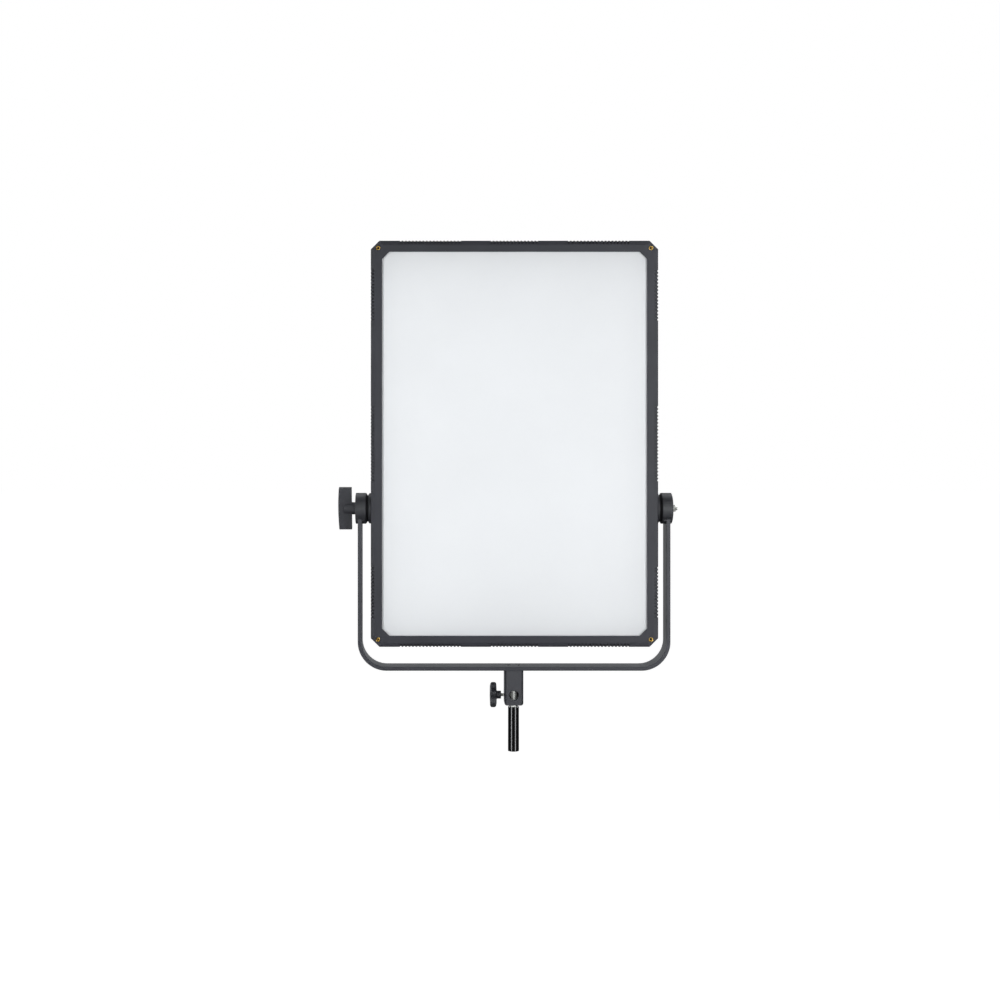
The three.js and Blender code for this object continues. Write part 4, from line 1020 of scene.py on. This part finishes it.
def make_display_marks():
    """Two lit scales of plain bars over a line, just above the display's face."""
    low, high = box_of("display_window")
    centre = (low + high) / 2
    outlines = []
    for row, filled in SCALES:
        for i in range(SCALE_BARS):
            half_height = FULL_BAR_HALF if i < filled else EMPTY_BAR_HALF
            at = (centre.x - SCALE_HALF + i * SCALE_PITCH, centre.z + row)
            outlines.append(capsule(0.8, half_height, at))
    outlines.append(capsule(SCALE_HALF, 0.4, (centre.x, centre.z - 12)))
    bars = [prism("bar", outline, "Y", high.y - 0.05, high.y + 0.12) for outline in outlines]
    marks = merged("display_bars", bars)
    glow = finish("display_glow", (0.3, 0.62, 0.8), (0.36, 0.7, 0.86), (0.3, 0.4), 1, 0.001)
    shader = glow.node_tree.nodes["Principled BSDF"]
    glow.node_tree.links.new(shader.inputs["Base Color"].links[0].from_socket,
                             shader.inputs["Emission Color"])
    shader.inputs["Emission Strength"].default_value = 0.6
    dress(marks, body="head", slot="display_glass", edge=0)
    marks.data.materials[0] = glow


FLUTES = 30
SPINDLE_RADIUS = 3.2
SPINDLE_LENGTH = 8.8


def make_encoder(node):
    low, high = box_of(node)
    at = Vector((middle_of(node).x, 0, middle_of(node).z))
    radius = (high.x - low.x) / 2
    skirt = low.y + SPINDLE_LENGTH
    profile = [(0, low.y, 0), (SPINDLE_RADIUS, low.y), (SPINDLE_RADIUS, skirt), (radius, skirt, 0.5),
               (radius, skirt + 2, 0.5), (radius - 0.9, skirt + 3), (radius - 1.3, high.y - 0.2, 1.2),
               (radius - 3.4, high.y, 0.5), (radius - 4.4, high.y - 0.7, 0.6), (0, high.y - 1.0, 0)]

    def fluted(r, angle, along):
        on_grip = r > radius - 2.2 and skirt + 2.6 < along < high.y - 0.6
        return r - 0.32 * (1 + math.cos(FLUTES * angle)) * on_grip

    knob = turned("fluted_" + node, rounded(profile, 0.4, 4, closed=False), "Y", at, 180, fluted)
    dress(knob, node, edge=0, angle=50)
    line = prism(node + "_pointer", capsule(0.45, 2.4, (0, 0)), "Y", high.y - 1.1, high.y - 0.45,
                 at + Vector((0, 0, radius - 6.6)))
    dress(line, body=body_of[node], slot="white_film", edge=0.1, segments=1)


def make_button(node):
    low, high = box_of(node)
    centre = (low + high) / 2
    half_x, half_z = (high.x - low.x) / 2, (high.z - low.z) / 2
    rings = []
    for inset, y in ((0.2, low.y), (0, low.y + 0.3), (0, high.y - 1.0), (0.15, high.y - 0.5),
                     (0.5, high.y - 0.2), (1.2, high.y - 0.05), (2.4, high.y)):
        outline = rectangle(half_x - inset, half_z - inset, max(2.2 - inset * 0.6, 0.3), 5,
                            (centre.x, centre.z))
        rings.append([(x, y, z) for x, z in outline])
    dress(stacked("keycap_" + node, rings), node, edge=0)


SOCKET_FLOOR = 2.5


def socket_shell(node, wall, corner):
    """An open box with rounded corners, and its middle and box."""
    low, high = box_of(node)
    centre = (low + high) / 2
    half_x, half_z = (high.x - low.x) / 2, (high.z - low.z) / 2
    body = prism("socket_" + node, rectangle(half_x, half_z, corner, 5, (centre.x, centre.z)), "Y",
                 low.y, high.y)
    well = rectangle(half_x - wall, half_z - wall, max(corner - wall * 0.5, 0.3), 5,
                     (centre.x, centre.z))
    combined(body, [prism("well", well, "Y", low.y + SOCKET_FLOOR, high.y + 2)])
    return body, centre, low, high


def make_sockets():
    shell, centre, low, high = socket_shell("mains_inlet", 2.6, 1.5)
    dress(shell, "mains_inlet", edge=0.35)
    for number, (dx, dz) in enumerate(((-7, -2), (0, 3), (7, -2))):
        outline = rectangle(1.0, 2.1, 0.4, 3, (centre.x + dx, centre.z + dz))
        blade = prism(f"inlet_pin_{number + 1}", outline, "Y", low.y + 2.2, high.y - 4)
        dress(blade, body="head", slot="bright_steel", edge=0.3)
    for node in ("data_in", "data_out"):
        shell, centre, low, high = socket_shell(node, 1.8, 0.8)
        dress(shell, node, edge=0.25)
        contacts = []
        for i in range(8):
            outline = rectangle(0.22, 0.35, 0.1, 2, (centre.x - 3.6 + i * 1.03, centre.z + 4.6))
            contacts.append(prism("contact", outline, "Y", low.y + 2.3, high.y - 5))
        dress(merged(node + "_contacts", contacts), body="head", slot="brass", edge=0)
    shell, centre, low, high = socket_shell("usb_port", 0.9, 2.2)
    dress(shell, "usb_port", edge=0.15)
    tongue = prism("usb_tongue", rectangle(3.2, 0.35, 0.2, 2, (centre.x, centre.z)), "Y", low.y + 2.3,
                   high.y - 1.5)
    dress(tongue, body="head", slot="soft_black_plastic", edge=0.1)
    dress(socket_shell("switch_frame", 1.8, 1.2)[0], "switch_frame", edge=0.4)


# ---- the whole -------------------------------------------------------------------------------

make_camera()
make_world()
make_lights()
make_floor()

finishes = make_finishes()
make_pole()
make_receiver()
make_yoke_bar()
make_receiver_screws()
make_pivot_side("left", -1)
make_pivot_side("right", 1)
make_pivot_fasteners()
make_tilt_knob()
make_clamp_knob()
make_front_frame()
make_inserts()
make_light_face()
make_light_stack()
make_rear_housing()
make_housing_screws()
make_control_box()

bpy.context.scene.view_settings.view_transform = "Standard"
